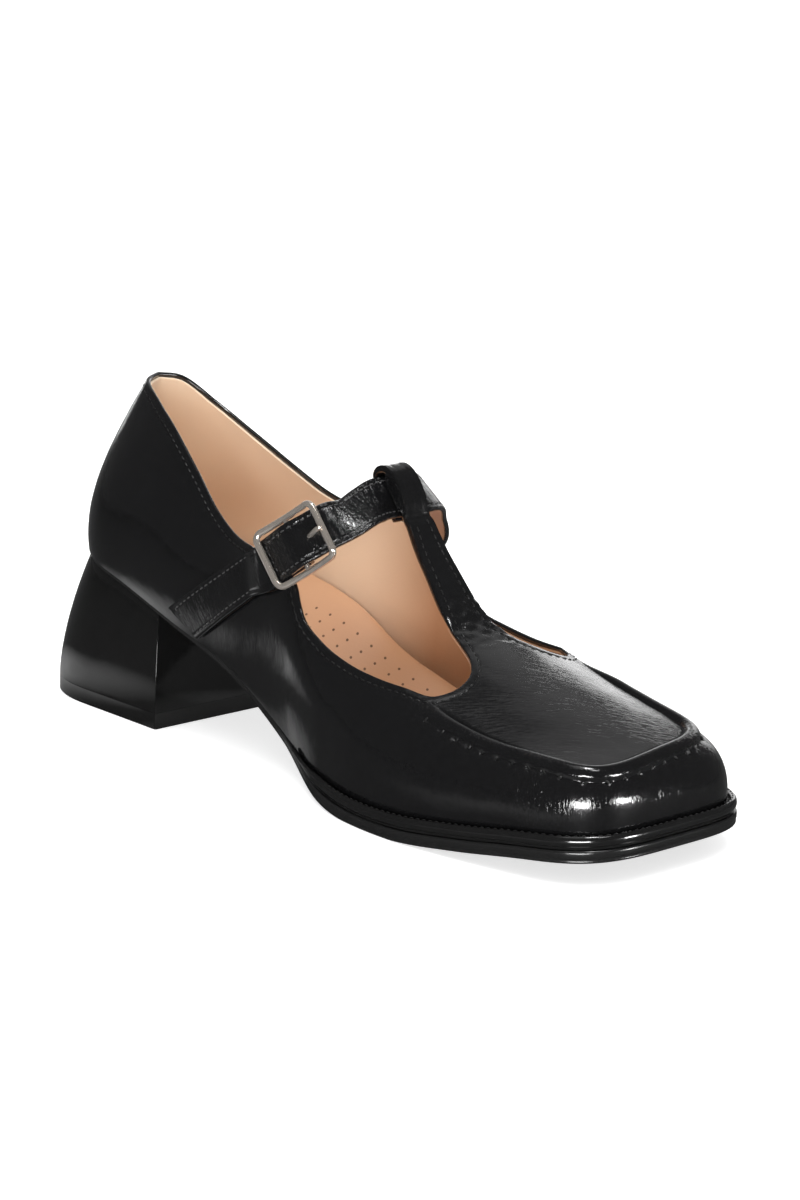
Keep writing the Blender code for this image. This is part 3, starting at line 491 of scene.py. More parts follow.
def weld(points, faces):
    """Join points that fall together, and drop faces that collapse."""
    rounded = np.round(points, WELD_DIGITS)
    _, first, index = np.unique(rounded, axis=0, return_index=True, return_inverse=True)
    index = index.ravel()
    kept = []
    for face in faces:
        loop = []
        for corner_index in index[list(face)]:
            if corner_index not in loop:
                loop.append(int(corner_index))
        if len(loop) > 2:
            kept.append(tuple(loop))
    return points[first], kept


def join(shapes):
    """Several shapes as one."""
    points, faces = [], []
    start = 0
    for p, f in shapes:
        points.append(p)
        faces += [tuple(start + k for k in face) for face in f]
        start += len(p)
    return np.vstack(points), faces


def loft(rings):
    """Closed solid through rings of equal count. An end ring that isn't folded flat is filled."""
    rings = np.asarray(rings, float)
    n, m = rings.shape[:2]
    faces = grid_faces(n, m, ring=True)
    for ring, loop in ((rings[0], range(m - 1, -1, -1)), (rings[-1], range((n - 1) * m, n * m))):
        if np.linalg.norm(np.cross(ring - ring[0], np.roll(ring, -1, 0) - ring[0]).sum(0)) > FLAT_AREA:
            faces.append(tuple(loop))
    return weld(rings.reshape(-1, 3), faces)


def ladder(profiles, rungs):
    """Solid between two side profiles, which hold for each station points from top to bottom."""
    q = np.linspace(0, 1, rungs + 1)[1:-1, None]
    rings = []
    for a, b in zip(*profiles):
        top = a[0] + (b[0] - a[0]) * q
        bottom = b[-1] + (a[-1] - b[-1]) * q
        rings.append(np.vstack([a[:1], top, b, bottom, a[:0:-1]]))
    return loft(rings)


# Upper

FLANK_MAIN = 0.93
FLANK_END = (0.94, 0.994)
FLANK_END_SHARE = 6


class Steps:
    """Steps of the upper's grids: counts along its parts, and rows by their distance from the top edge."""

    def __init__(self, back, quarter, flank, toe, bar, low, edge):
        self.back = np.linspace(0, 1, back + 1)[:-1]
        self.quarter = np.linspace(0, 1, quarter + 1)[:-1]
        end = np.linspace(*FLANK_END, flank // FLANK_END_SHARE)
        self.flank = np.concatenate([np.linspace(0, FLANK_MAIN, flank), end])
        self.toe = np.linspace(0, 1, toe + 1)
        self.bar = np.linspace(0, 1, bar + 1)[1:]
        self.throat = np.linspace(0, 1, toe + 1 - bar)
        self.edge = edge
        self.low = np.linspace(0, 1, low)


FINE = Steps(back=26, quarter=96, flank=90, toe=50, bar=7, low=26,
             edge=np.concatenate([np.linspace(8.5, 5.5, 5), np.linspace(5.1, 0, 15)]))
COARSE = Steps(back=16, quarter=44, flank=30, toe=20, bar=4, low=12, edge=np.array([3.0, 1.5, 0.0]))


def wall_stations(side, steps):
    fine = np.linspace(1, 2, DENSE)
    run = lengths(side.get("top", fine)) + lengths(side.get("foot", fine))
    quarter = np.interp(steps.quarter * run[-1], run, fine)
    return np.concatenate([steps.back, quarter, 2 + steps.flank, 3 + steps.toe])


def wall_grid(side, steps, drop):
    """Rows from sole to top by columns from back to toe. Drop lowers the topline of the quarters."""
    station = wall_stations(side, steps)
    reach = 2 * np.linalg.norm(side.get("top", station) - side.get("belly", station), axis=1)
    lower = drop * (1 - ramp(station, *DROP_FADE))
    fine = [1 - (d + lower) / reach for d in steps.edge]
    grid = np.stack([side.wall(station, v) for v in [fine[0] * q for q in steps.low] + fine[1:]])
    grid[0, :, 2] += GAP
    return grid


def throat_row(sides, steps):
    """Front edge of the opening, from one end of the seam to the other, across the bar's foot."""
    halves = []
    for k in SIDES:
        start = sides[k].get("top", 2.0)[:2]
        foot = (BAR_FOOT[0], k * BAR_FOOT[1])
        edge = through(np.vstack([start, THROAT[k].points("x", "y"), foot]), DENSE)
        half = along(edge, steps.throat)
        bar = [(BAR_FOOT[0], k * BAR_FOOT[1] * (1 - q)) for q in steps.bar]
        halves.append(np.vstack([half, bar]))
    row = np.vstack([halves[0], halves[1][-2::-1]])
    return np.column_stack([row, crown(row[:, 0], row[:, 1])])


def apron_grid(sides, steps):
    """Rows from throat to toe by columns from lateral to medial."""
    flank = np.append(steps.flank, 1.0)
    toe = steps.toe
    left = sides[LATERAL].get("top", 2 + flank)
    right = sides[MEDIAL].get("top", 2 + flank)
    front = np.vstack([sides[LATERAL].get("top", 3 + toe), sides[MEDIAL].get("top", 3 + toe[-2::-1])])
    back = throat_row(sides, steps)
    u = (lengths(front) / lengths(front)[-1] + lengths(back) / lengths(back)[-1])[None, :, None] / 2
    w = flank[:, None, None]
    plain = (1 - u) * left[:, None] + u * right[:, None] + (1 - w) * back[None] + w * front[None]
    back_corners = (1 - w) * ((1 - u) * back[0] + u * back[-1])
    front_corners = w * ((1 - u) * front[0] + u * front[-1])
    grid = plain - back_corners - front_corners
    inside = (slice(1, -1), slice(1, -1))
    grid[inside][..., 2] = crown(grid[inside][..., 0], grid[inside][..., 1])
    return grid


# Sole, welt, insole and heel

HEEL_STATIONS = np.linspace(0, 1, 61)


def edge_profile(side, station, out, up):
    """Side points of a flat piece: out from the feather line and up from it, one row of each per point."""
    foot = side.get("foot", station)[:, None]
    normal = unit(side.get("normal", station))[:, None]
    return foot + normal * out[..., None] + np.array([0, 0, 1.0]) * up[..., None]


def heel_plan(side):
    """Top and foot outlines of the heel on one side, by station from back to breast."""
    station = np.linspace(0, 2, DENSE)
    foot = side.get("foot", station)
    top = foot + unit(side.get("normal", station)) * (SOLE.rows[0, 1] - HEEL_TOP_INSET)
    top[:, 2] = foot[:, 2] - SOLE.at("thick", foot[:, 0]) - GAP
    top = along(top[top[:, 0] <= HEEL_TOP_FRONT], HEEL_STATIONS)
    x = HEEL_BACK + (HEEL_FRONT - HEEL_BACK) * (1 - np.cos(np.linspace(0, np.pi / 2, DENSE)))
    y = side.side * HEEL_HALF * cap(x - HEEL_BACK, *HEEL_FOOT_CAP)
    low = along(np.column_stack([x, y, np.full(DENSE, HEEL_LIFT + GAP)]), HEEL_STATIONS)
    return top, low


# Straps and buckle

SEWN_POINTS = 6
PRONG_HOOK_POINTS = 5


def buckle_frame_axes():
    """Directions along the strap, across it and out of it at the buckle."""
    e1 = unit(BUCKLE_ALONG)
    e2 = unit(BUCKLE_ACROSS - e1 * (BUCKLE_ACROSS @ e1))
    return e1, e2, np.cross(e1, e2)


def at_buckle(rows):
    """World points from (along, out) rows at the buckle."""
    e1, _, e3 = buckle_frame_axes()
    return BUCKLE + rows[:, :1] * e1 + rows[:, 1:] * e3


def sewn_route(side, thick):
    """Middle line and normals of a strap's sewn end on the quarter."""
    line = through(SEWN.points("x", "z"), SEWN_POINTS)
    points, normals = zip(*(side.on_wall(x, z) for x, z in line))
    normals = np.array(normals)
    return np.array(points) + normals * (GAP + thick / 2), normals


def prong_path():
    """Route of the prong: its hook round the bar, then over the frame."""
    radius = BAR_RADIUS + GAP + PRONG_WIRE
    turn = np.radians(np.linspace(*PRONG_HOOK, PRONG_HOOK_POINTS))
    hook = np.column_stack([radius * np.cos(turn), -BUCKLE_DIP + radius * np.sin(turn)])
    return np.vstack([hook, PRONG_ROUTE.rows])


# Stitched detail of the upper: rolled bead, its stitches, hems and creases

LEATHER = 1.2
LINING_OUT = 1.25
LINING_DROP = 0.9
LINING_PUFF = 0.1
HEM = 0.13
HEM_WIDTH = (1.5, 2.4)
HEM_FILL = 5
STITCH_INSET = 2.2
# Groove of a stitch row: depth and width
STITCH_GROOVE = (0.11, 0.32)
BEAD_HEIGHT = 1.7
BEAD_APRON = 1.6
BEAD_WALL = 3.3
BEAD_SLOPE = 0.8
# Crease, puckers and gathers beside the bead: size, distance from the seam, width and width along it
CREASE = (0.38, 1.85, 0.42)
PUCKER_PITCH = 5.4
PUCKER_ENDS = 15.0
PUCKER = (0.5, 3.5, 0.75, 0.5)
GATHER = (0.07, 5.2, 1.4)
BAR_FOLDS = Table("x depth width bow", [
    (157.6, 0.26, 0.7, 0.020),
    (160.4, 0.34, 0.7, 0.015),
    (163.2, 0.36, 0.8, 0.022),
    (166.0, 0.30, 0.7, 0.016),
    (168.9, 0.26, 0.8, 0.012),
    (172.4, 0.18, 0.9, 0.010)])
# Spread of those folds across the bar, their bend, their waviness and the ridge beside each
BAR_FOLD_HALF = 12.0
BAR_FOLD_MIDDLE = 2.0
BAR_FOLD_WAVE = (0.8, 0.9)
BAR_FOLD_RIDGE = (0.6, 2.1, 1.2)
LOOP_CREASE = (0.4, 0.7)
LOOP_CREASE_AT = np.array([140.4, 79.6])
# Unevenness of the leather: size and waves a millimetre
SWELL = ((0.16, 1 / 22.0), (0.05, 1 / 7.0))
# Rounded rim of the leather, and rows of the T-bar's grid
RIM_TURNS = np.radians([45, 90, 135])
RIM_PUFF = 0.35
BAR_ROWS = 110
SAG_ROWS = 46
TURN_ROWS = 12
FOLD_ROWS = 12
BAR_EASE = 12
WALL_KIND, APRON_KIND, BAR_KIND = range(3)


def bar_rows(steps):
    """Rows of the T-bar from its foot, over the strap, and folded back behind it, and their thickness."""
    columns = np.linspace(-1, 1, 2 * len(steps.bar) + 1)
    foot = np.array([BAR_FOOT[0], 0.0, crown(BAR_FOOT[0], 0.0)])
    roll = LOOP + LOOP_ROLL.points("up") * LOOP_UP + LOOP_ROLL.points("out") * LOOP_OUT
    roll = np.column_stack([roll[:, [0, 2]], LOOP_ROLL.col("half")])
    rows = np.vstack([[foot[0], foot[2], BAR_FOOT[1]], BAR.points("x", "z", "half"), roll])
    spine = through(rows, BAR_ROWS)
    behind = np.linspace(LOOP_ROLL.rows[-1, 0], FOLD_END, FOLD_ROWS)[1:, None]
    inner = STRAP_THICK / 2 + GAP + FOLD_THICK
    fold = LOOP + behind * LOOP_UP - inner * LOOP_OUT
    line = np.vstack([np.column_stack([spine[:, 0], np.zeros(len(spine)), spine[:, 1]]), fold])
    half = np.concatenate([spine[:, 2], np.full(len(fold), spine[-1, 2])])
    grid = np.repeat(line[:, None], len(columns), axis=1)
    grid[:, :, 1] = half[:, None] * columns
    foot_y = BAR_FOOT[1] * columns
    foot_z = crown(BAR_FOOT[0], foot_y)
    grid[0] = np.column_stack([np.full(len(foot_y), BAR_FOOT[0]), foot_y, foot_z])
    sag = (foot_z - foot[2])[None] * np.linspace(1, 0, SAG_ROWS)[:, None]
    grid[1:SAG_ROWS, :, 2] += sag[1:]
    thick = np.full(len(line), BAR_THICK)
    thick[:BAR_EASE] = np.linspace(LEATHER, BAR_THICK, BAR_EASE)
    stand = (line - LOOP) @ LOOP_OUT - STRAP_THICK / 2 - GAP
    beside = np.abs((line - LOOP) @ LOOP_UP) < STRAP_WIDTH / 2
    thick = np.where(beside, np.maximum(thick, stand), thick)
    thick[-FOLD_ROWS:] = FOLD_THICK
    thick[-FOLD_ROWS - TURN_ROWS:-FOLD_ROWS] = np.linspace(BAR_THICK, FOLD_THICK, TURN_ROWS)
    return grid, np.repeat(thick[:, None], len(columns), axis=1)


def upper_sheet(sides, steps, drop, with_bar):
    """Outer sheet of the upper: points, faces, and each point's kind, thickness and place on the sole."""
    grids = [(wall_grid(sides[LATERAL], steps, drop), WALL_KIND, False, LEATHER),
             (wall_grid(sides[MEDIAL], steps, drop), WALL_KIND, True, LEATHER),
             (apron_grid(sides, steps), APRON_KIND, True, LEATHER)]
    if with_bar:
        bar, thick = bar_rows(steps)
        grids.append((bar, BAR_KIND, False, thick))
    points, faces, data = [], [], []
    start = 0
    for grid, kind, flip, thick in grids:
        rows, columns = grid.shape[:2]
        info = np.zeros((rows, columns, 3))
        info[..., 0] = kind
        info[..., 1] = thick
        info[0, :, 2] = kind == WALL_KIND
        points.append(grid.reshape(-1, 3))
        data.append(info.reshape(-1, 3))
        for quad in grid_faces(rows, columns, start):
            faces.append(quad[::-1] if flip else quad)
        start += rows * columns
    points = np.vstack(points)
    _, first = np.unique(np.round(points, WELD_DIGITS), axis=0, return_index=True)
    data = np.vstack(data)[first]
    points, faces = weld(points, faces)
    return points, faces, data[:, 0].astype(int), data[:, 1], data[:, 2] > 0


def sheet_normals(points, faces, level):
    """Point normals of a sheet, without slope along the sole."""
    normal = np.zeros_like(points)
    for face in faces:
        p = points[list(face)]
        turn = np.cross(p[2] - p[0], p[-1] - p[1] if len(p) > 3 else p[2] - p[1])
        for corner_index in face:
            normal[corner_index] += turn
    normal[level, 2] = 0
    return unit(normal)


def boundary_loops(faces):
    """Loops of points along the free edges, in the faces' own direction."""
    used = {}
    for face in faces:
        for a, b in zip(face, face[1:] + face[:1]):
            used[(a, b)] = True
    ahead = {a: b for a, b in used if (b, a) not in used}
    loops = []
    while ahead:
        start = min(ahead)
        loop = [start]
        here = ahead.pop(start)
        while here != start:
            loop.append(here)
            here = ahead.pop(here)
        loops.append(np.array(loop))
    return loops


def away_from_sheet(points, normal, loop):
    """Direction in the sheet that points out over its free edge."""
    tangent = unit(np.roll(points[loop], -1, 0) - np.roll(points[loop], 1, 0))
    return unit(np.cross(tangent, normal[loop]))


def shell(points, faces, normal, bump, thick, level, puff):
    """Wall on a sheet with a rounded rim: bump moves its outer face, thick is its inner face's depth."""
    outer = points + normal * bump[:, None]
    inner = points - normal * thick[:, None]
    n = len(points)
    all_points = [outer, inner]
    all_faces = list(faces) + [tuple(k + n for k in face[::-1]) for face in faces]
    count = 2 * n
    for loop in boundary_loops(faces):
        away = away_from_sheet(outer, normal, loop) * np.where(level[loop], 0.0, puff)[:, None]
        middle = (outer[loop] + inner[loop]) / 2
        arm = (outer[loop] - inner[loop]) / 2
        rings = [loop]
        for turn in RIM_TURNS:
            all_points.append(middle + arm * np.cos(turn) + away * np.sin(turn))
            rings.append(count + np.arange(len(loop)))
            count += len(loop)
        rings.append(loop + n)
        for low, high in zip(rings[:-1], rings[1:]):
            for a, b, c, d in zip(np.roll(low, -1), low, high, np.roll(high, -1)):
                all_faces.append((int(a), int(b), int(c), int(d)))
    return np.vstack(all_points), all_faces


def nearest(cloud, points):
    """Index of the nearest cloud point, and its distance, for each point."""
    tree = KDTree(len(cloud))
    for k, p in enumerate(cloud):
        tree.insert(p, k)
    tree.balance()
    found = [tree.find(p) for p in points]
    return np.array([f[1] for f in found]), np.array([f[2] for f in found])


def seam_line(sides):
    """Whole bead seam, from its outer start round the toe to its inner start."""
    return np.vstack([sides[LATERAL].get("top", np.linspace(2, 4, DENSE)),
                      sides[MEDIAL].get("top", np.linspace(4, 2, DENSE))[1:]])


def bell(x, middle, width):
    """Soft hump of height one."""
    return np.exp(-((x - middle) / width)**2)


def pucker_places(sides):
    """Places of the stitch puckers along the bead seam."""
    run = lengths(seam_line(sides))[-1]
    return np.arange(PUCKER_ENDS, run - PUCKER_ENDS, PUCKER_PITCH)


def bead_relief(points, kind, sides):
    """Rolled bead along the apron's seam, with a crease inside it and stitch puckers below it."""
    line = seam_line(sides)
    index, d = nearest(line, points)
    t = lengths(line)[index]
    s = np.where(kind == APRON_KIND, d, -d)
    inside = np.sqrt(np.clip(1 - (s / BEAD_APRON)**2, 0, 1))
    outside = np.clip(1 - (s / BEAD_WALL)**2, 0, 1)**BEAD_SLOPE
    bead = BEAD_HEIGHT * np.where(s > 0, inside, outside)
    depth, at, width = CREASE
    bead -= depth * bell(s, at, width)
    places = pucker_places(sides)
    beside = np.abs(t[:, None] - places).min(1)
    depth, at, width, along_width = PUCKER
    pucker = -depth * bell(s, -at, width) * bell(beside, 0, along_width)
    rise, at, width = GATHER
    gather = rise * bell(s, -at, width) * np.cos(2 * np.pi * (t - places[0]) / PUCKER_PITCH + np.pi)
    relief = (bead + pucker + gather) * ramp(points[:, 0], *BEAD_FADE)
    return np.where(kind == BAR_KIND, 0.0, relief)


def edge_relief(points, faces, level):
    """Turned hem with a stitch groove along the free edges."""
    cloud = []
    for loop in boundary_loops(faces):
        if not level[loop].all():
            ring = points[loop]
            for q in np.arange(HEM_FILL) / HEM_FILL:
                cloud.append(ring + (np.roll(ring, -1, 0) - ring) * q)
    _, d = nearest(np.vstack(cloud), points)
    depth, width = STITCH_GROOVE
    return HEM * (1 - ramp(d, *HEM_WIDTH)) - depth * bell(d, STITCH_INSET, width)


def fold_relief(points, kind):
    """Creases where the T-bar bends out of the apron, and the sewn line under its loop."""
    x, y, z = points.T
    relief = np.zeros(len(points))
    wave, pace = BAR_FOLD_WAVE
    rise, shift, spread = BAR_FOLD_RIDGE
    for at, depth, width, bow in BAR_FOLDS.rows:
        line = at + bow * (y - BAR_FOLD_MIDDLE)**2 + wave * np.sin(pace * y + at)
        ridge = rise * bell(x, line + shift * width, spread * width)
        relief += depth * (ridge - bell(x, line, width))
    relief *= bell(y, 0, BAR_FOLD_HALF) * (kind != WALL_KIND)
    depth, width = LOOP_CREASE
    off = np.hypot(x - LOOP_CREASE_AT[0], z - LOOP_CREASE_AT[1])
    return relief - np.where(kind == BAR_KIND, depth * bell(off, 0, width), 0.0)


def swell_relief(points):
    """Gentle unevenness of the leather."""
    relief = np.zeros(len(points))
    for size, scale in SWELL:
        relief += size * np.array([noise.noise(Vector(p * scale)) for p in points])
    return relief


# Meshes and materials

SHARP_ANGLE = 0.7

# Where the part's origin lies in the design frame, found from the box of the top lift
origin = np.array([HEEL_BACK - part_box("top_lift")[0].x / MM,
                   -(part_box("top_lift")[0].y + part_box("top_lift")[1].y) / 2 / MM, 0.0])


def add_piece(name, shape, material, replaced=()):
    """Mesh object of a shape, which rides on the shoe and may stand for one of its solids."""
    points, faces = shape
    mesh = bpy.data.meshes.new(name)
    mesh.from_pydata(((np.asarray(points) - origin) * MM).tolist(), [], faces)
    mesh.validate()
    mesh.shade_smooth()
    mesh.set_sharp_from_angle(angle=SHARP_ANGLE)
    mesh.materials.append(material)
    obj = bpy.data.objects.new(name, mesh)
    bpy.context.scene.collection.objects.link(obj)
    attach(obj, "root")
    if replaced:
        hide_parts(*replaced)
    return obj


def set_amounts(obj, name, values):
    """Per-point number that a material reads."""
    layer = obj.data.attributes.new(name, "FLOAT", "POINT")
    layer.data.foreach_set("value", np.asarray(values, np.float32))


class Nodes:
    """Short way to add and join the shader nodes of a new material or world."""

    def __init__(self, name, kind="materials", shader="Principled BSDF"):
        self.owner = getattr(bpy.data, kind).new(name)
        self.owner.use_nodes = True
        self.tree = self.owner.node_tree
        self.shader = self.tree.nodes[shader]

    def add(self, kind, inputs=None, **settings):
        node = self.tree.nodes.new("ShaderNode" + kind)
        for key, value in settings.items():
            setattr(node, key, value)
        for key, value in (inputs or {}).items():
            self.put(node, key, value)
        return node

    def put(self, node, key, value):
        if isinstance(value, bpy.types.NodeSocket):
            self.tree.links.new(value, node.inputs[key])
        else:
            node.inputs[key].default_value = value

    def set(self, **values):
        for key, value in values.items():
            self.put(self.shader, key.replace("_", " "), value)

    def math(self, operation, a, b=0.0, c=0.0):
        return self.add("Math", {0: a, 1: b, 2: c}, operation=operation).outputs[0]

    def place(self, scale=(1, 1, 1), turn=(0, 0, 0)):
        """Place on the piece, turned and then stretched."""
        where = self.add("TexCoord").outputs["Object"]
        turned = self.add("Mapping", {"Vector": where, "Rotation": turn}).outputs[0]
        return self.add("Mapping", {"Vector": turned, "Scale": scale}).outputs[0]

    def noise(self, scale, detail=2.0, rough=0.5, bend=0.0, place=None):
        """Noise over the piece, its scale in waves a metre."""
        inputs = {"Vector": self.place() if place is None else place, "Scale": scale}
        inputs.update({"Detail": detail, "Roughness": rough, "Distortion": bend})
        return self.add("TexNoise", inputs).outputs["Fac"]

    def ridges(self, place):
        """Narrow wavy ridges where a stretched noise crosses its middle."""
        waves = self.noise(1.0, 3.0, 0.55, 0.8, place)
        away = self.math("ABSOLUTE", self.math("MULTIPLY_ADD", waves, 2.0, -1.0))
        return self.math("POWER", self.math("SUBTRACT", 1.0, away), 3.0)

    def ramp(self, value, low, high):
        """Colour between two ends."""
        node = self.add("ValToRGB", {"Fac": value})
        node.color_ramp.elements[0].color = (*low, 1)
        node.color_ramp.elements[1].color = (*high, 1)
        return node.outputs["Color"]

    def span(self, value, low, high, start=0.0, end=1.0):
        inputs = {"Value": value, "From Min": start, "From Max": end, "To Min": low, "To Max": high}
        return self.add("MapRange", inputs).outputs["Result"]

    def part(self, vector, axis):
        return self.add("SeparateXYZ", {0: vector}).outputs[axis]

    def bump(self, height, distance, strength=1.0, below=None):
        inputs = {"Height": height, "Distance": distance, "Strength": strength}
        if below is not None:
            inputs["Normal"] = below
        return self.add("Bump", inputs).outputs["Normal"]

    def amount(self, name):
        return self.add("Attribute", attribute_name=name).outputs["Fac"]


UPPER_GRIT = 0.5
UPPER_ROUGH = (0.08, 0.12)
STRAP_GRIT = 0.12
STRAP_ROUGH = 0.08
UPRIGHT_RIDGES = (1100, 1100, 200)
# Colour towards the heel: partly a paler lining, partly painted light on the back of the lining
PALE_AND_LIT_LINING = (0.88, 0.69, 0.50, 1)
PALE_AND_LIT_FADE = (-0.045, 0.0)
SOLE_UNDER = (-0.95, -0.5)


def grey(shade):
    return (shade, shade, shade)


def patent_material(name, stretch, turn, strength=None):
    """Black crinkled patent leather under a clear coat. With no strength, its crinkles differ by region."""
    n = Nodes(name)
    crush = n.noise(620, 4.0, 0.6, 0.5)
    ridge = n.ridges(n.place(stretch, turn))
    rough, grit = STRAP_ROUGH, STRAP_GRIT
    if strength is None:
        top = n.amount("top")
        upright = n.math("MULTIPLY", n.ridges(n.place(UPRIGHT_RIDGES)), n.math("SUBTRACT", 1.0, top))
        ridge = n.math("ADD", n.math("MULTIPLY", ridge, top), upright)
        strength = n.amount("crinkle")
        rough = n.math("MULTIPLY_ADD", top, *UPPER_ROUGH)
        grit = UPPER_GRIT
    patches = n.span(n.noise(45), 0.25, 1.0, 0.35, 0.65)
    height = n.math("MULTIPLY_ADD", crush, grit, ridge)
    height = n.math("MULTIPLY", height, n.math("MULTIPLY", patches, strength))
    dents = n.bump(n.noise(120), 0.00025, 0.5)
    normal = n.bump(height, 0.00008, 1.0, dents)
    color = n.ramp(crush, (0.0028, 0.0028, 0.003), (0.007, 0.007, 0.0075))
    rough = n.math("MULTIPLY_ADD", crush, 0.06, rough)
    n.set(Base_Color=color, Roughness=rough, Normal=normal, Specular_IOR_Level=0.3)
    n.set(Coat_Weight=1.0, Coat_Roughness=0.05, Coat_Normal=normal)
    return n.owner


def tan_material(name, light, dark, pores, paler):
    """Soft tan lining leather, paler towards the heel: partly a paler lining there, partly painted light
    falling on the back of the lining.
    """
    n = Nodes(name)
    cloud = n.noise(30, 3.0, 0.6)
    grain = n.noise(1500, 3.0, 0.6)
    color = n.ramp(n.math("MULTIPLY_ADD", grain, 0.35, n.math("MULTIPLY", cloud, 0.65)), dark, light)
    forward = n.part(n.add("TexCoord").outputs["Object"], "X")
    # Painted light: the colour turns paler towards the heel, partly the lining's own paler tone there
    share = n.span(forward, paler, 0.0, *PALE_AND_LIT_FADE)
    mixed = n.add("Mix", {"Factor": share, 6: color, 7: PALE_AND_LIT_LINING}, data_type="RGBA").outputs[2]
    holes = n.add("TexVoronoi", {"Vector": n.place(), "Scale": pores}).outputs["Distance"]
    height = n.math("MULTIPLY_ADD", n.math("MINIMUM", holes, 0.3), 1.5, grain)
    n.set(Base_Color=mixed, Roughness=n.math("MULTIPLY_ADD", grain, 0.15, 0.5))
    n.set(Normal=n.bump(height, 0.00006, 0.6), Sheen_Weight=0.15)
    return n.owner


def lacquer_material(name, rough, shade, wear):
    """Glossy black heel and sole edge."""
    n = Nodes(name)
    film = n.noise(140)
    dust = n.noise(2200)
    n.set(Base_Color=n.ramp(film, grey(shade), grey(shade * 1.7)))
    n.set(Roughness=n.math("MULTIPLY_ADD", dust, wear, rough))
    n.set(Normal=n.bump(film, 0.0001, 0.35, n.bump(dust, 0.00001, 0.3)))
    n.set(Coat_Weight=0.5, Coat_Roughness=0.05)
    return n.owner


def sole_material(name):
    """Black rubber: glossy on its edge, satin and finely grained underneath."""
    n = Nodes(name)
    up = n.part(n.add("NewGeometry").outputs["Normal"], "Z")
    under = n.span(up, 1.0, 0.0, *SOLE_UNDER)
    grain = n.noise(900, 3.0, 0.6)
    n.set(Base_Color=n.ramp(grain, grey(0.006), grey(0.016)))
    n.set(Roughness=n.math("MULTIPLY_ADD", under, 0.4, n.math("MULTIPLY_ADD", grain, 0.1, 0.15)))
    n.set(Normal=n.bump(grain, 0.00006, 0.35))
    return n.owner


def thread_material(name, dark, light):
    """Twisted thread between two greys."""
    n = Nodes(name)
    twist = n.noise(5000)
    n.set(Base_Color=n.ramp(twist, grey(dark), grey(light)), Roughness=0.4, Specular_IOR_Level=0.3)
    n.set(Normal=n.bump(twist, 0.00004, 0.6))
    return n.owner


def metal_material(name):
    """Polished nickel with faint scratches."""
    n = Nodes(name)
    scratches = n.noise(1.0, 3.0, 0.6, place=n.place((300, 4000, 300), (0.3, 0.2, 0.5)))
    n.set(Base_Color=n.ramp(scratches, (0.84, 0.75, 0.66), (0.94, 0.86, 0.78)), Metallic=0.86)
    n.set(Roughness=n.math("MULTIPLY_ADD", scratches, 0.08, 0.07), Normal=n.bump(scratches, 0.00001, 0.25))
    return n.owner


def hole_material(name):
    """Shaded inside of a pinhole."""
    n = Nodes(name)
    n.set(Base_Color=n.ramp(n.noise(900), (0.12, 0.055, 0.025), (0.18, 0.09, 0.045)), Roughness=0.8)
    return n.owner


# Stitches: pitch along the row, length of each and radius of its thread

COLLAR_STITCH = (2.6, 1.85, 0.27)
BAND_STITCH = (2.4, 1.75, 0.26)
WELT_STITCH = (2.3, 1.7, 0.28)
APRON_STITCH = (PUCKER_PITCH, 2.0, 0.34)
STITCH_SIDES = 6
STITCH_DIP = 1.2
STITCH_RINGS = Table("at radius", [(-1.0, 0.1), (-0.8, 0.8), (-0.3, 1.0), (0.3, 1.0), (0.8, 0.8),
                                   (1.0, 0.1)])
# How far stitches stand out, where the apron's stitches lie, and the part of the loop without any
COLLAR_LIFT = 0.06
APRON_LIFT = 0.1
APRON_REACH = (2.8, 4.4)
APRON_NEAR = 1.2
LOOP_PLAIN = {"front": 141.5, "half": 8.0, "low": 70.0}


def round_section(radius, sides):
    """Corners of a round section."""
    turn = np.arange(sides) * 2 * np.pi / sides
    return np.stack([np.cos(turn), np.sin(turn)], -1) * radius


def stitches(centres, tangents, normals, stitch):
    """Short arched lengths of thread, half sunk in the leather."""
    _, length, radius = stitch
    ring = round_section(1.0, STITCH_SIDES)
    last = (len(STITCH_RINGS.rows) - 1) * STITCH_SIDES
    faces = grid_faces(len(STITCH_RINGS.rows), STITCH_SIDES, ring=True)
    faces.append(tuple(range(STITCH_SIDES - 1, -1, -1)))
    faces.append(tuple(range(last, last + STITCH_SIDES)))
    shapes = []
    for centre, ahead, out in zip(centres, unit(tangents), unit(normals)):
        section = ring[:, :1] * np.cross(ahead, out) + ring[:, 1:] * out
        rings = []
        for at, size in STITCH_RINGS.rows:
            dip = -radius * STITCH_DIP * at**4
            rings.append(centre + ahead * at * length / 2 + out * dip + radius * size * section)
        shapes.append((np.vstack(rings), faces))
    return join(shapes)


def spaced(path, pitch):
    """Places and directions at even steps along a path."""
    run = lengths(path)
    at = np.arange(pitch / 2, run[-1], pitch)
    here = sample(run, path, at)
    ahead = sample(run, path, np.minimum(at + pitch / 4, run[-1]))
    behind = sample(run, path, np.maximum(at - pitch / 4, 0))
    return here, unit(ahead - behind)


def on_surface(tree, points):
    """Nearest places and normals on a surface."""
    found = [tree.find_nearest(Vector(p)) for p in points]
    return np.array([f[0][:] for f in found]), np.array([f[1][:] for f in found])


def collar_stitches(outer, faces, normal, level, tree):
    """Stitch row along the hems of the topline, cut-outs and T-bar. The loop has none."""
    shapes = []
    for loop in boundary_loops(faces):
        if level[loop].all():
            continue
        line = outer[loop] - away_from_sheet(outer, normal, loop) * STITCH_INSET
        here, ahead = spaced(np.vstack([line, line[:1]]), COLLAR_STITCH[0])
        x, y, z = here.T
        keep = (x > LOOP_PLAIN["front"]) | (np.abs(y) > LOOP_PLAIN["half"]) | (z < LOOP_PLAIN["low"])
        spots, outs = on_surface(tree, here[keep])
        shapes.append(stitches(spots + outs * COLLAR_LIFT, ahead[keep], outs, COLLAR_STITCH))
    return join(shapes)


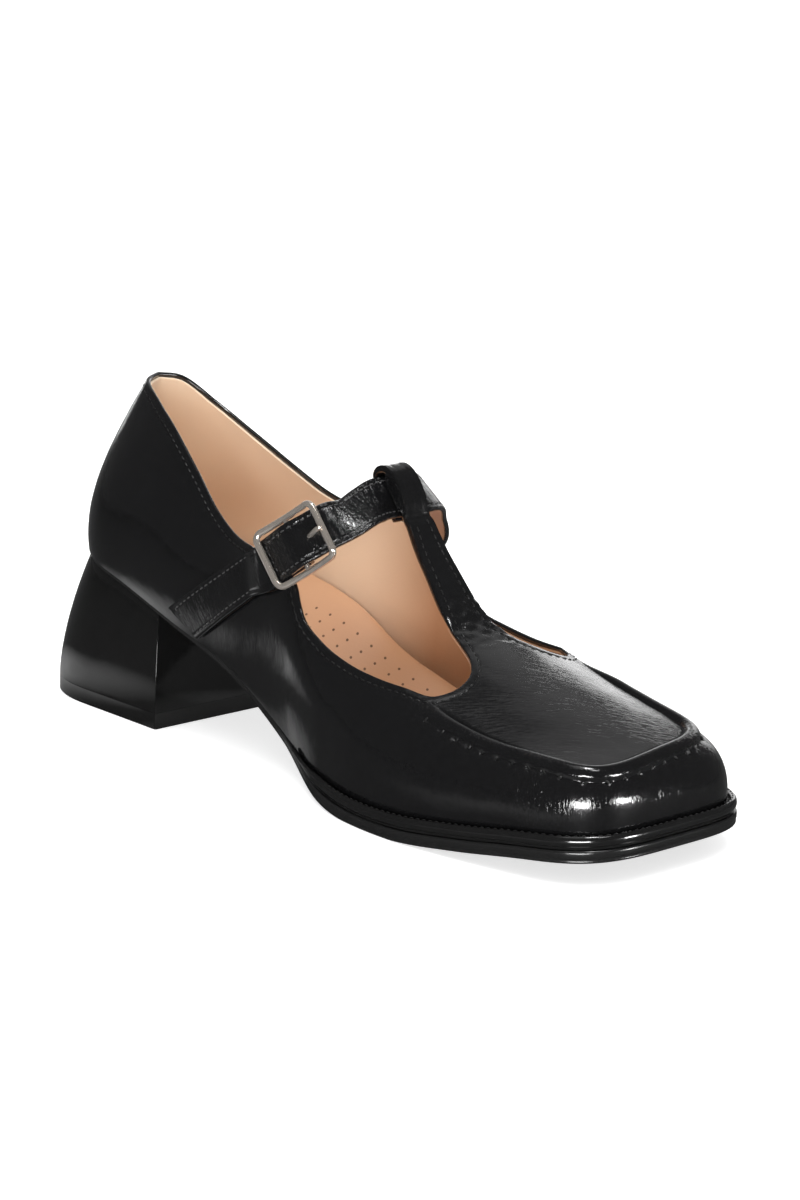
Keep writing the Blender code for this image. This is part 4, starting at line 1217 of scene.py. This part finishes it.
def apron_stitches(points, outer, kind, tree, sides):
    """One stitch below the bead at each pucker, pointing up the wall."""
    line = seam_line(sides)
    wall = np.flatnonzero(kind == WALL_KIND)
    index, depth = nearest(line, points[wall])
    run = lengths(line)[index]
    centres, aheads, normals = [], [], []
    for place in pucker_places(sides):
        near = np.abs(run - place) < APRON_NEAR
        high, low = (outer[wall[near][np.argmin(np.abs(depth[near] - reach))]] for reach in APRON_REACH)
        spots, outs = on_surface(tree, [(low + high) / 2])
        centres.append(spots[0] + outs[0] * APRON_LIFT)
        aheads.append(high - low)
        normals.append(outs[0])
    return stitches(centres, np.array(aheads), np.array(normals), APRON_STITCH)


# Straps and wires

WIRE_SIDES = 16
RING_SIDES = 20
CORNER_POINTS = 14
EDGE_POINTS = 22
PRONG_POINTS = 60
CHAPE_HOOK_POINTS = 7
BLUNT_TIP = 0.02
STRAP_INSET = 1.7
STRAP_GROOVE = (0.14, 0.32)
STRAP_CROWN = 0.1
STRAP_SHOULDER = 0.6
# Edge of a strap's upper layer: in from the side, and up from its underside or from its top
STRAP_FOOT = [(0.2, 0.0), (0.0, 0.25)]
STRAP_HEAD = [(0.0, -0.42), (0.22, -0.1)]
BAND_COLUMNS = 41
# Layers of a strap above its underside, and its stitch rows along the run
BAND_LEATHER_LOW = 0.25
BAND_LINING_HIGH = 0.3
BAND_LINING_INSET = 0.7
BAND_STITCH_SUNK = 0.05
BAND_STITCH_START = 2.0
BAND_STITCH_END = 2.5
BAND_TIP_ROW = 2.6
ROW_STEPS = 4
CROSS_STEPS = 30


def band_axes(path, normals, closed=False):
    """Directions ahead, across and out along a path."""
    if closed:
        ahead = unit(np.roll(path, -1, 0) - np.roll(path, 1, 0))
    else:
        ahead = unit(np.gradient(path, axis=0))
    side = unit(np.cross(normals, ahead))
    return ahead, side, np.cross(ahead, side)


def slant_lean(slant, run):
    """How far a slanted cut still leans, by the run from its start."""
    return slant / 2 * np.clip(1 - run / SLANT_FADE, 0, 1)


def sweep(path, normals, section, closed=False, slant=0.0, size=None):
    """Section of (across, out) points along a path. Slant cuts its start askew, size scales its rings."""
    tangent, side, out = band_axes(path, normals, closed)
    lean = slant_lean(slant, lengths(path))
    reach = section[:, :1] / np.abs(section).max()
    size = np.ones(len(path)) if size is None else size
    rings = []
    for p, s, o, t, push, grow in zip(path, side, out, tangent, lean, size):
        rings.append(p + grow * (section[:, :1] * s + section[:, 1:] * o) + reach * push * t)
    if closed:
        return np.vstack(rings), grid_faces(len(rings), len(section), ring=True, closed=True)
    return loft(rings)


def leather_section(low, high):
    """Upper layer of a strap: painted edges, stitch grooves and a slightly full middle."""
    half = STRAP_WIDTH / 2
    a = np.linspace(-half + STRAP_SHOULDER, half - STRAP_SHOULDER, BAND_COLUMNS)
    depth, spread = STRAP_GROOVE
    top = high - depth * bell(np.abs(a), half - STRAP_INSET, spread) + STRAP_CROWN * (1 - (a / half)**2)
    left = [(-half + x, low + y) for x, y in STRAP_FOOT] + [(-half + x, high + y) for x, y in STRAP_HEAD]
    right = [(-x, y) for x, y in left[::-1]]
    return np.array(left + list(zip(a, top)) + right)[::-1]


def lining_section(low, high):
    """Thin under layer of a strap."""
    half = STRAP_WIDTH / 2 - BAND_LINING_INSET
    return np.array([(-half, low), (half, low), (half, high), (-half, high)])


def strap_control(sides):
    """Places and outward directions along the strap, from its sewn end to its tip."""
    sewn, sewn_normals = sewn_route(sides[MEDIAL], STRAP_THICK)
    e3 = buckle_frame_axes()[2]
    near = STRAP_OVER[MEDIAL]
    far = STRAP_OVER[LATERAL]
    end = at_buckle(STRAP_AT_BUCKLE.rows)
    points = np.vstack([sewn, near.points("x", "y", "z"), LOOP, far.points("x", "y", "z"), end])
    over = [near.points("nx", "ny", "nz"), LOOP_OUT, far.points("nx", "ny", "nz")]
    return points, np.vstack([sewn_normals, *over, np.tile(e3, (len(end), 1))])


def chape_control(sides):
    """Places and outward directions along the chape, from its sewn end round the buckle's bar."""
    sewn, sewn_normals = sewn_route(sides[LATERAL], CHAPE_THICK)
    e1, _, e3 = buckle_frame_axes()
    radius = BAR_RADIUS + GAP + CHAPE_THICK / 2
    turn = np.radians(np.linspace(*CHAPE_HOOK, CHAPE_HOOK_POINTS))
    hook = np.column_stack([radius * np.cos(turn), -BUCKLE_DIP + radius * np.sin(turn)])
    rows = np.vstack([CHAPE_AT_BUCKLE.rows, hook])
    hook_normals = [-(np.cos(t) * e1 + np.sin(t) * e3) for t in turn]
    straight = np.tile(e3, (len(CHAPE_AT_BUCKLE.rows), 1))
    return np.vstack([sewn, at_buckle(rows)]), np.vstack([sewn_normals, straight, hook_normals])


def band_stitches(path, normals, high, slant, last, ends):
    """Stitch rows along both edges up to last, and across the band at ends, in millimetres of its run."""
    tangent, side, out = band_axes(path, normals)
    run = lengths(path)
    reach = STRAP_WIDTH / 2 - STRAP_INSET
    lift = high - STRAP_GROOVE[0] + BAND_STITCH_SUNK

    def place(at, a):
        p, s, o, t = (sample(run, v, at) for v in (path, side, out, tangent))
        push = (a / (STRAP_WIDTH / 2) * slant_lean(slant, at))[:, None]
        return p + a[:, None] * s + o * lift + push * t, o

    steps = int((last - BAND_STITCH_START) * ROW_STEPS)
    rows = [(BAND_STITCH_START, last, k * reach, k * reach, steps) for k in SIDES]
    rows += [(end, end, -reach, reach, CROSS_STEPS) for end in ends]
    shapes = []
    for first, final, left, right, count in rows:
        line, _ = place(np.linspace(first, final, count), np.linspace(left, right, count))
        here, ahead = spaced(line, BAND_STITCH[0])
        _, outs = place(np.linspace(first, final, len(here)), np.linspace(left, right, len(here)))
        shapes.append(stitches(here, ahead, outs, BAND_STITCH))
    return join(shapes)


def buckle_ring():
    """Rounded square of wire that dips a little where the centre bar joins it."""
    e1, e2, e3 = buckle_frame_axes()
    half = np.array([BUCKLE_LENGTH, BUCKLE_WIDTH]) / 2 - BUCKLE_WIRE
    centre = half - BUCKLE_CORNER
    path = []
    for sx, sy, start in ((1, 1, 0), (-1, 1, 90), (-1, -1, 180), (1, -1, 270)):
        for turn in np.radians(start + np.linspace(0, 90, CORNER_POINTS)):
            path.append(centre * (sx, sy) + BUCKLE_CORNER * np.array([np.cos(turn), np.sin(turn)]))
        if sx == sy:
            for q in np.linspace(1, -1, EDGE_POINTS)[1:-1]:
                path.append(np.array([q * centre[0] * sx, sy * half[1]]))
    path = np.array(path)
    dip = -BUCKLE_DIP * np.clip(1 - (path[:, 0] / half[0])**2, 0, 1)
    points = BUCKLE + path[:, :1] * e1 + path[:, 1:] * e2 + dip[:, None] * e3
    return sweep(points, np.tile(e3, (len(points), 1)), round_section(BUCKLE_WIRE, RING_SIDES), closed=True)


def buckle_bar():
    """Straight bar across the middle of the buckle."""
    _, e2, e3 = buckle_frame_axes()
    reach = BUCKLE_WIDTH / 2 - BUCKLE_WIRE
    ends = [BUCKLE - e3 * BUCKLE_DIP + e2 * reach * k for k in SIDES]
    return sweep(np.array(ends), np.tile(e3, (2, 1)), round_section(BAR_RADIUS, WIRE_SIDES))


def prong():
    """Wire hooked round the bar, with a rounded tip."""
    e2 = buckle_frame_axes()[1]
    path = through(at_buckle(prong_path()), PRONG_POINTS)
    tip = np.clip((lengths(path)[-1] - lengths(path)) / PRONG_WIRE, BLUNT_TIP, 1)
    size = np.sqrt(1 - (1 - tip)**2)
    return sweep(path, np.tile(e2, (len(path), 1)), round_section(PRONG_WIRE, WIRE_SIDES), size=size)


# Sole pieces

SOLE_EDGE_POINTS = 15
SOLE_RUNGS = 8
INSOLE_EDGE_POINTS = 9
INSOLE_RUNGS = 26
HEEL_RUNGS = 10
# Footbed: rise of the arch on the inner side, and of the shallow cup
ARCH = Table("x rise", [(30, 0.0), (50, 3.5), (70, 8.0), (85, 10.5), (98, 11.0), (108, 9.6), (118, 9.0),
                        (130, 8.4), (145, 6.2), (160, 3.6), (178, 1.2), (195, 0.0)])
ARCH_SPREAD = (-4.0, 24.0)
CUP_RISE = 0.7
CUP_HALF = 32.0
# Pinholes in the footbed: rows across it, places along it and sizes
PIN_ROWS = (13.6, 10.2, 6.9, 3.6, 0.3)
PIN_X = np.linspace(82.8, 128.2, 9)
PIN_STAGGER = 0.8
PIN_SKEW = 0.13
PIN_RADIUS = 0.42
PIN_SIDES = 12
PIN_PROUD = 0.04
PIN_DEPTH = 0.3
ABOVE_SHOE = 200.0
WELT_POINTS = 25
WELT_STEPS = (110, 40)
WELT_SEAM = (1.95, 3.95)
WELT_SEAM_START = 4.0
WELT_SEAM_POINTS = 500
# Rounded front corners of the heel, and how they are found on its mesh
HEEL_BEVEL = 1.3
HEEL_BEVEL_STEPS = 4
HEEL_BEVEL_DEPTH = 6.0
HEEL_BEVEL_SHARE = 0.88
UPRIGHT = 0.5


def stations(back, middle, toe):
    """Stations of a full-length piece, with a count for each stretch."""
    parts = [np.linspace(0, 1, back)[:-1], np.linspace(1, 3, middle)[:-1], np.linspace(3, 4, toe)]
    return np.concatenate(parts)


def outsole(sides):
    """Sole with a stepped edge, flat where it meets the floor."""
    station = stations(30, 120, 40)
    edge = through(SOLE_EDGE.rows, SOLE_EDGE_POINTS)
    profiles = []
    for k in SIDES:
        x = sides[k].get("foot", station)[:, 0]
        thick = SOLE.at("thick", x)[:, None]
        out = SOLE.at("out", x)[:, None] + edge[:, 0] * ramp(x, *SOLE_EDGE_START)[:, None]
        profile = edge_profile(sides[k], station, out, -thick * edge[:, 1])
        lowest = np.maximum(profile[:, -1, 2], 0)
        scale = (profile[:, 0, 2] - lowest) / (profile[:, 0, 2] - profile[:, -1, 2])
        profile[..., 2] = profile[:, :1, 2] + (profile[..., 2] - profile[:, :1, 2]) * scale[:, None]
        profiles.append(profile)
    return ladder(profiles, SOLE_RUNGS)


def insole_rise(x, y):
    """How far the footbed rises towards its edges: an arch on the inner side, a shallow cup elsewhere."""
    arch = ARCH.at("rise", x) * ramp(y, *ARCH_SPREAD)
    return arch + CUP_RISE * np.clip(np.abs(y) / CUP_HALF, 0, 1)**2


def insole(sides):
    """Padded footbed with a rounded edge."""
    station = stations(24, 80, 24)
    rows = np.zeros((len(station), 1))
    edge = through(INSOLE_EDGE.rows, INSOLE_EDGE_POINTS)
    out = edge[:, 0] - WALL - INSOLE_SIDE_GAP + rows
    up = GAP + INSOLE_THICK * edge[:, 1] + rows
    points, faces = ladder([edge_profile(sides[k], station, out, up) for k in SIDES], INSOLE_RUNGS)
    share = np.clip((points[:, 2] - FOOT.at("z", points[:, 0]) - GAP) / INSOLE_THICK, 0, 1)
    points[:, 2] += share * insole_rise(points[:, 0], points[:, 1])
    return points, faces


def pinholes(footbed_shape):
    """Dark round plugs in rows on the footbed, coloured with the painted shade inside pinholes."""
    points, faces = footbed_shape
    tree = BVHTree.FromPolygons([tuple(p) for p in points], faces)
    circle = round_section(PIN_RADIUS, PIN_SIDES)
    shapes = []
    for k, row in enumerate(PIN_ROWS):
        for x in PIN_X - PIN_STAGGER * k:
            ring = circle + (x, row + PIN_SKEW * (x - PIN_X.mean()))
            z = np.array([tree.ray_cast((*spot, ABOVE_SHOE), (0, 0, -1))[0].z for spot in ring])
            shapes.append(loft([np.column_stack([ring, z + up]) for up in (-PIN_DEPTH, PIN_PROUD)]))
    return join(shapes)


def welt(sides):
    """Rib round the forepart, which starts thin at the waist on both sides."""
    section = through(np.vstack([WELT.rows, WELT.rows[:1]]), WELT_POINTS)[:-1]
    flank, toe = WELT_STEPS
    rings = []
    for k in SIDES:
        side = sides[k]
        first = np.interp(WELT_TAPER[0], side.foot[:, 0], side.station)
        station = np.concatenate([np.linspace(first, 3, flank)[:-1], np.linspace(3, 4, toe)])
        x = side.get("foot", station)[:, 0]
        grow = WELT_LOW + (1 - WELT_LOW) * ramp(x, *WELT_TAPER)
        shift = (SOLE.at("out", x) - SOLE.rows[-1, 1])[:, None]
        inner = section[0, 0]
        width = np.maximum(grow, WELT_NARROW)[:, None]
        out = inner + (section[:, 0] - inner) * width + np.maximum(shift, WELT_TUCK)
        up = GAP + (section[:, 1] - GAP) * grow[:, None]
        rings.append(edge_profile(side, station, np.maximum(out, WELT_CLEAR), up))
    return loft(np.concatenate([rings[0], rings[1][-2::-1]]))


def welt_stitches(sides):
    """Fine stitches in the groove between the welt and the wall."""
    out, up = (np.full((WELT_SEAM_POINTS, 1), size) for size in WELT_SEAM)
    shapes = []
    for k in SIDES:
        side = sides[k]
        first = np.interp(WELT_TAPER[1] + WELT_SEAM_START, side.foot[:, 0], side.station)
        line = edge_profile(side, np.linspace(first, 4, WELT_SEAM_POINTS), out, up)[:, 0]
        here, ahead = spaced(line, WELT_STITCH[0])
        shapes.append(stitches(here, ahead, np.tile([0, 0, 1.0], (len(here), 1)), WELT_STITCH))
    return join(shapes)


def sunk(outline, sink):
    """Outline moved in towards the middle of the heel."""
    return outline + unit((HEEL_MIDDLE - outline) * np.array([1, 1, 0])) * sink


def heel(sides):
    """Flared block between the sole and the top lift."""
    profiles = []
    for k in SIDES:
        top, low = heel_plan(sides[k])
        profile = []
        for t in HEEL_STEPS:
            here = top + (low - top) * t
            here[:, :2] = top[:, :2] + (low - top)[:, :2] * (1 - (1 - t)**HEEL_FLARE)
            profile.append(sunk(here, np.interp(t, *HEEL_ROUND.rows.T)))
        profiles.append(np.stack(profile, 1))
    return ladder(profiles, HEEL_RUNGS)


def top_lift(sides):
    """Thin wear layer under the heel."""
    profiles = []
    for k in SIDES:
        low = heel_plan(sides[k])[1]
        profile = np.stack([sunk(low, sink) for sink in LIFT_EDGE.col("sink")], 1)
        profile[..., 2] = LIFT_EDGE.col("z")
        profiles.append(profile)
    return ladder(profiles, HEEL_RUNGS)


def soften(obj):
    """Round off the upright corner edges at the front of a heel piece."""
    mesh = obj.data
    points = np.array([v.co for v in mesh.vertices])
    ends = points[np.array([e.vertices for e in mesh.edges])]
    upright = np.abs(unit(ends[:, 1] - ends[:, 0]))[:, 2] > UPRIGHT
    front = ends[..., 0].min(1) > points[:, 0].max() - HEEL_BEVEL_DEPTH * MM
    outer = np.zeros(len(ends), bool)
    for side in SIDES:
        outer |= (side * ends[..., 1].mean(1)) > HEEL_BEVEL_SHARE * (side * points[:, 1]).max()
    weight = mesh.attributes.new("bevel_weight_edge", "FLOAT", "EDGE")
    weight.data.foreach_set("value", (front & outer & upright).astype(np.float32))
    bevel = obj.modifiers.new("soft_edges", "BEVEL")
    bevel.width = HEEL_BEVEL * MM
    bevel.segments = HEEL_BEVEL_STEPS
    bevel.limit_method = "WEIGHT"


# Pieces

CRINKLE_WALL = 0.2
CRINKLE_TOE = 0.5
CRINKLE_TOP = 0.5
CRINKLE_RIM = 0.3
CRINKLE_FADE = (150, 215)
STRAP_RIDGES = ((1000, 1000, 200), (0, 0.64, 0))
STRAP_STEPS = 300
CHAPE_STEPS = 160
CHAPE_SEWN = 39.0

sides = {k: Side(k) for k in SIDES}
patent = patent_material("patent_leather", (170, 1000, 1000), (0, 0, -0.83))
strap_patent = patent_material("strap_patent", *STRAP_RIDGES, 1.5)
chape_patent = patent_material("chape_patent", *STRAP_RIDGES, 0.6)
tan = tan_material("tan_lining", (0.49, 0.255, 0.13), (0.40, 0.19, 0.09), 700, 0.95)
footbed = tan_material("tan_footbed", (0.57, 0.295, 0.138), (0.48, 0.22, 0.094), 900, 0.15)
lacquer = lacquer_material("heel_lacquer", 0.05, 0.004, 0.05)
welt_black = lacquer_material("welt_black", 0.12, 0.005, 0.08)
lift_black = lacquer_material("lift_black", 0.1, 0.005, 0.06)
rubber = sole_material("sole_rubber")
thread = thread_material("black_thread", 0.005, 0.017)
# Same black thread, painted lighter grey on the strap and chape stitches as a painted sheen of light
# catching them
strap_thread_painted_sheen = thread_material("strap_thread_painted_sheen", 0.03, 0.08)
nickel = metal_material("polished_nickel")
hole_painted_shade = hole_material("hole_shadow")


def add_upper():
    """Leather of the upper with its stitch rows."""
    points, faces, kind, thick, level = upper_sheet(sides, FINE, 0.0, True)
    normal = sheet_normals(points, faces, level)
    relief = (bead_relief(points, kind, sides) + edge_relief(points, faces, level)
              + fold_relief(points, kind) + swell_relief(points))
    relief[level] = 0.0
    shape = shell(points, faces, normal, relief, thick, level, RIM_PUFF)
    piece = add_piece("upper_leather", shape, patent, ["upper"])
    on_wall = kind == WALL_KIND
    top = np.where(on_wall, 0.0, 1.0)
    wall_crinkle = CRINKLE_WALL + CRINKLE_TOE * ramp(points[:, 0], *CRINKLE_FADE)
    crinkle = np.where(on_wall, wall_crinkle, CRINKLE_TOP)
    rim = len(shape[0]) - 2 * len(points)
    set_amounts(piece, "top", np.concatenate([top, top, np.zeros(rim)]))
    set_amounts(piece, "crinkle", np.concatenate([crinkle, crinkle, np.full(rim, CRINKLE_RIM)]))
    outer = points + normal * relief[:, None]
    tree = BVHTree.FromPolygons([tuple(p) for p in outer], faces)
    row = collar_stitches(outer, faces, normal, level, tree)
    add_piece("collar_stitches", row, thread)
    row = apron_stitches(points, outer, kind, tree, sides)
    add_piece("apron_stitches", row, thread)


def add_lining():
    """Tan lining inside the upper."""
    points, faces, _, _, level = upper_sheet(sides, COARSE, LINING_DROP, False)
    normal = sheet_normals(points, faces, level)
    outer = np.full(len(points), -LINING_OUT)
    shape = shell(points, faces, normal, outer, np.full(len(points), WALL), level, LINING_PUFF)
    add_piece("upper_lining", shape, tan)


def add_band(name, control, steps, thick, slant, leather, sewn=None):
    """Strap of leather with a thin lining and stitches, which end at sewn or else at its tip."""
    points, normals = control
    run = lengths(points)
    at = np.linspace(0, run[-1], steps)
    path = smooth(run, points, at)
    outs = unit(smooth(run, normals, at))
    high = thick / 2
    shape = sweep(path, outs, leather_section(BAND_LEATHER_LOW - high, high), slant=slant)
    add_piece(name + "_leather", shape, leather, [name])
    shape = sweep(path, outs, lining_section(-high, BAND_LINING_HIGH - high), slant=slant)
    add_piece(name + "_lining", shape, tan)
    tip = lengths(path)[-1]
    last = sewn or tip - BAND_STITCH_END
    ends = [BAND_STITCH_START] if sewn else [BAND_STITCH_START, tip - BAND_TIP_ROW]
    shape = band_stitches(path, outs, high, slant, last, ends)
    add_piece(name + "_stitches", shape, strap_thread_painted_sheen)


add_upper()
add_lining()
insole_shape = insole(sides)
pad = add_piece("insole_pad", insole_shape, footbed, ["insole"])
add_piece("insole_pinholes", pinholes(insole_shape), hole_painted_shade)
add_piece("outsole_body", outsole(sides), rubber, ["outsole"])
add_piece("welt_rib", welt(sides), welt_black, ["welt"])
add_piece("welt_stitches", welt_stitches(sides), thread)
soften(add_piece("heel_block", heel(sides), lacquer, ["heel"]))
soften(add_piece("heel_lift", top_lift(sides), lift_black, ["top_lift"]))
add_band("strap", strap_control(sides), STRAP_STEPS, STRAP_THICK, SEWN_SLANT, strap_patent)
add_band("chape", chape_control(sides), CHAPE_STEPS, CHAPE_THICK, -SEWN_SLANT, chape_patent, CHAPE_SEWN)
add_piece("buckle_ring", join([buckle_ring(), buckle_bar()]), nickel, ["buckle_frame"])
add_piece("buckle_pin", prong(), nickel, ["buckle_prong"])


# Stage: pale floor, soft lights and the camera

CAMERA_AZIMUTH = 47.61
CAMERA_ELEVATION = 14.5
CAMERA_ROLL = 1.5
CAMERA_DISTANCE = 1.0479
CAMERA_LENS = 105.0
CAMERA_FILM = 36.0
CAMERA_FAR = 100.0
CAMERA_TARGET = np.array([130.0, 2.67, 51.73])
LIGHT_TARGET = np.array([0.0, 0.0, 0.04])
FLOOR_HALF = 8.0
FLOOR_SHADE = 0.8
FLOOR_GLOW = 0.64
WORLD_LIGHT = (("Is Camera Ray", 1.0), ("Is Diffuse Ray", 0.65), ("Is Glossy Ray", 0.062))

# Floor as the shoe's gloss sees it: its shade, and patches of painted light with their place, size and
# brightest shade, which the gloss shows as painted reflections
GLOSS_SHADE = 0.04
PAINTED_LIGHT_PATCHES = [((-0.155, -0.05, 0.0), (0.06, 0.05, 1.0), 0.6),
                 ((-0.03, 0.0, 0.0), (0.06, 0.045, 1.0), 0.8),
                 ((0.09, -0.12, 0.0), (0.1, 0.05, 1.0), 0.25)]
PATCH_CORE = 0.7


def looking_at(target, azimuth, elevation, roll, distance):
    """Placement at a distance from a target, facing it."""
    a, e, r = np.radians([azimuth, elevation, roll])
    back = np.array([np.sin(a) * np.cos(e), -np.cos(a) * np.cos(e), np.sin(e)])
    right = np.array([np.cos(a), np.sin(a), 0.0])
    up = np.cross(back, right)
    axes = [right * np.cos(r) + up * np.sin(r), up * np.cos(r) - right * np.sin(r), back]
    turn = Matrix(np.column_stack(axes).tolist()).to_4x4()
    return Matrix.Translation((target + back * distance).tolist()) @ turn


def add_camera():
    data = bpy.data.cameras.new("camera")
    data.lens = CAMERA_LENS
    data.sensor_fit = "VERTICAL"
    data.sensor_height = CAMERA_FILM
    data.clip_end = CAMERA_FAR
    camera = bpy.data.objects.new("camera", data)
    camera.matrix_world = looking_at((CAMERA_TARGET - origin) * MM, CAMERA_AZIMUTH, CAMERA_ELEVATION,
                                     CAMERA_ROLL, CAMERA_DISTANCE)
    bpy.context.scene.collection.objects.link(camera)
    bpy.context.scene.camera = camera


def add_light(name, azimuth, elevation, distance, size, power, gloss=True, matt=True):
    """Soft box that looks at the shoe, for its gloss, its matt surfaces or both."""
    data = bpy.data.lights.new(name, "AREA")
    data.shape = "RECTANGLE"
    data.size, data.size_y = size
    data.energy = power
    lamp = bpy.data.objects.new(name, data)
    lamp.matrix_world = looking_at(LIGHT_TARGET, azimuth, elevation, 0, distance)
    lamp.visible_camera = False
    lamp.visible_glossy = gloss
    lamp.visible_diffuse = matt
    bpy.context.scene.collection.objects.link(lamp)


def add_floor():
    """Pale floor, white to the camera. To the shoe's gloss it is dim, with patches of painted light near
    the shoe that it mirrors as painted reflections.
    """
    mesh = bpy.data.meshes.new("floor")
    corners = [(x * FLOOR_HALF, y * FLOOR_HALF, 0) for x, y in ((-1, -1), (1, -1), (1, 1), (-1, 1))]
    mesh.from_pydata(corners, [], [(0, 1, 2, 3)])
    n = Nodes("pale_floor")
    light = n.add("LightPath").outputs
    point = n.add("TexCoord").outputs["Object"]
    mirrored = GLOSS_SHADE
    # Patches of painted light, seen only by glossy rays
    for place, size, brightest in PAINTED_LIGHT_PATCHES:
        inputs = {"Vector": point, "Location": place, "Scale": size}
        where = n.add("Mapping", inputs, vector_type="TEXTURE").outputs[0]
        glow = n.add("TexGradient", {"Vector": where}, gradient_type="SPHERICAL").outputs["Fac"]
        mirrored = n.math("MAXIMUM", mirrored, n.span(glow, GLOSS_SHADE, brightest, 0.0, PATCH_CORE))
    shade = n.add("Mix", {0: light["Is Glossy Ray"], 2: FLOOR_SHADE, 3: mirrored}).outputs[0]
    n.set(Base_Color=n.add("CombineColor", {0: shade, 1: shade, 2: shade}).outputs[0], Roughness=0.7)
    glow = n.math("MULTIPLY", light["Is Camera Ray"], FLOOR_GLOW)
    n.set(Emission_Color=(1, 1, 1, 1), Emission_Strength=glow)
    mesh.materials.append(n.owner)
    floor = bpy.data.objects.new("floor", mesh)
    bpy.context.scene.collection.objects.link(floor)


def add_world():
    """White to the camera, soft to matt surfaces and dim to gloss, as in a studio with dark walls."""
    n = Nodes("studio", "worlds", "Background")
    light = n.add("LightPath").outputs
    strength = 0.0
    for ray, amount in WORLD_LIGHT:
        strength = n.math("MULTIPLY_ADD", light[ray], amount, strength)
    n.set(Color=(1, 1, 1, 1), Strength=strength)
    bpy.context.scene.world = n.owner


add_camera()
add_floor()
add_world()
add_light("overhead", 47, 86, 1.6, (1.5, 1.5), 20, gloss=False)
add_light("overhead_sheen", 47, 84, 1.6, (1.0, 1.0), 2.5, matt=False)
add_light("strap_glint", 98, 76, 1.4, (0.24, 0.24), 6, matt=False)
add_light("bead_glint", 95, 56, 1.4, (0.3, 0.16), 1.6, matt=False)
add_light("fill", 47, 5, 1.3, (0.7, 0.24), 11, gloss=False)
add_light("key_left", 47, 2, 1.3, (0.7, 0.22), 16, matt=False)
add_light("key_right", 112, 2, 1.3, (0.22, 0.22), 8, matt=False)
add_light("back", 228, 8, 2.2, (2.4, 0.9), 9.5)
add_light("back_high", 226, 42, 2.2, (1.6, 1.0), 1.2, matt=False)
bpy.context.scene.view_settings.view_transform = "Standard"
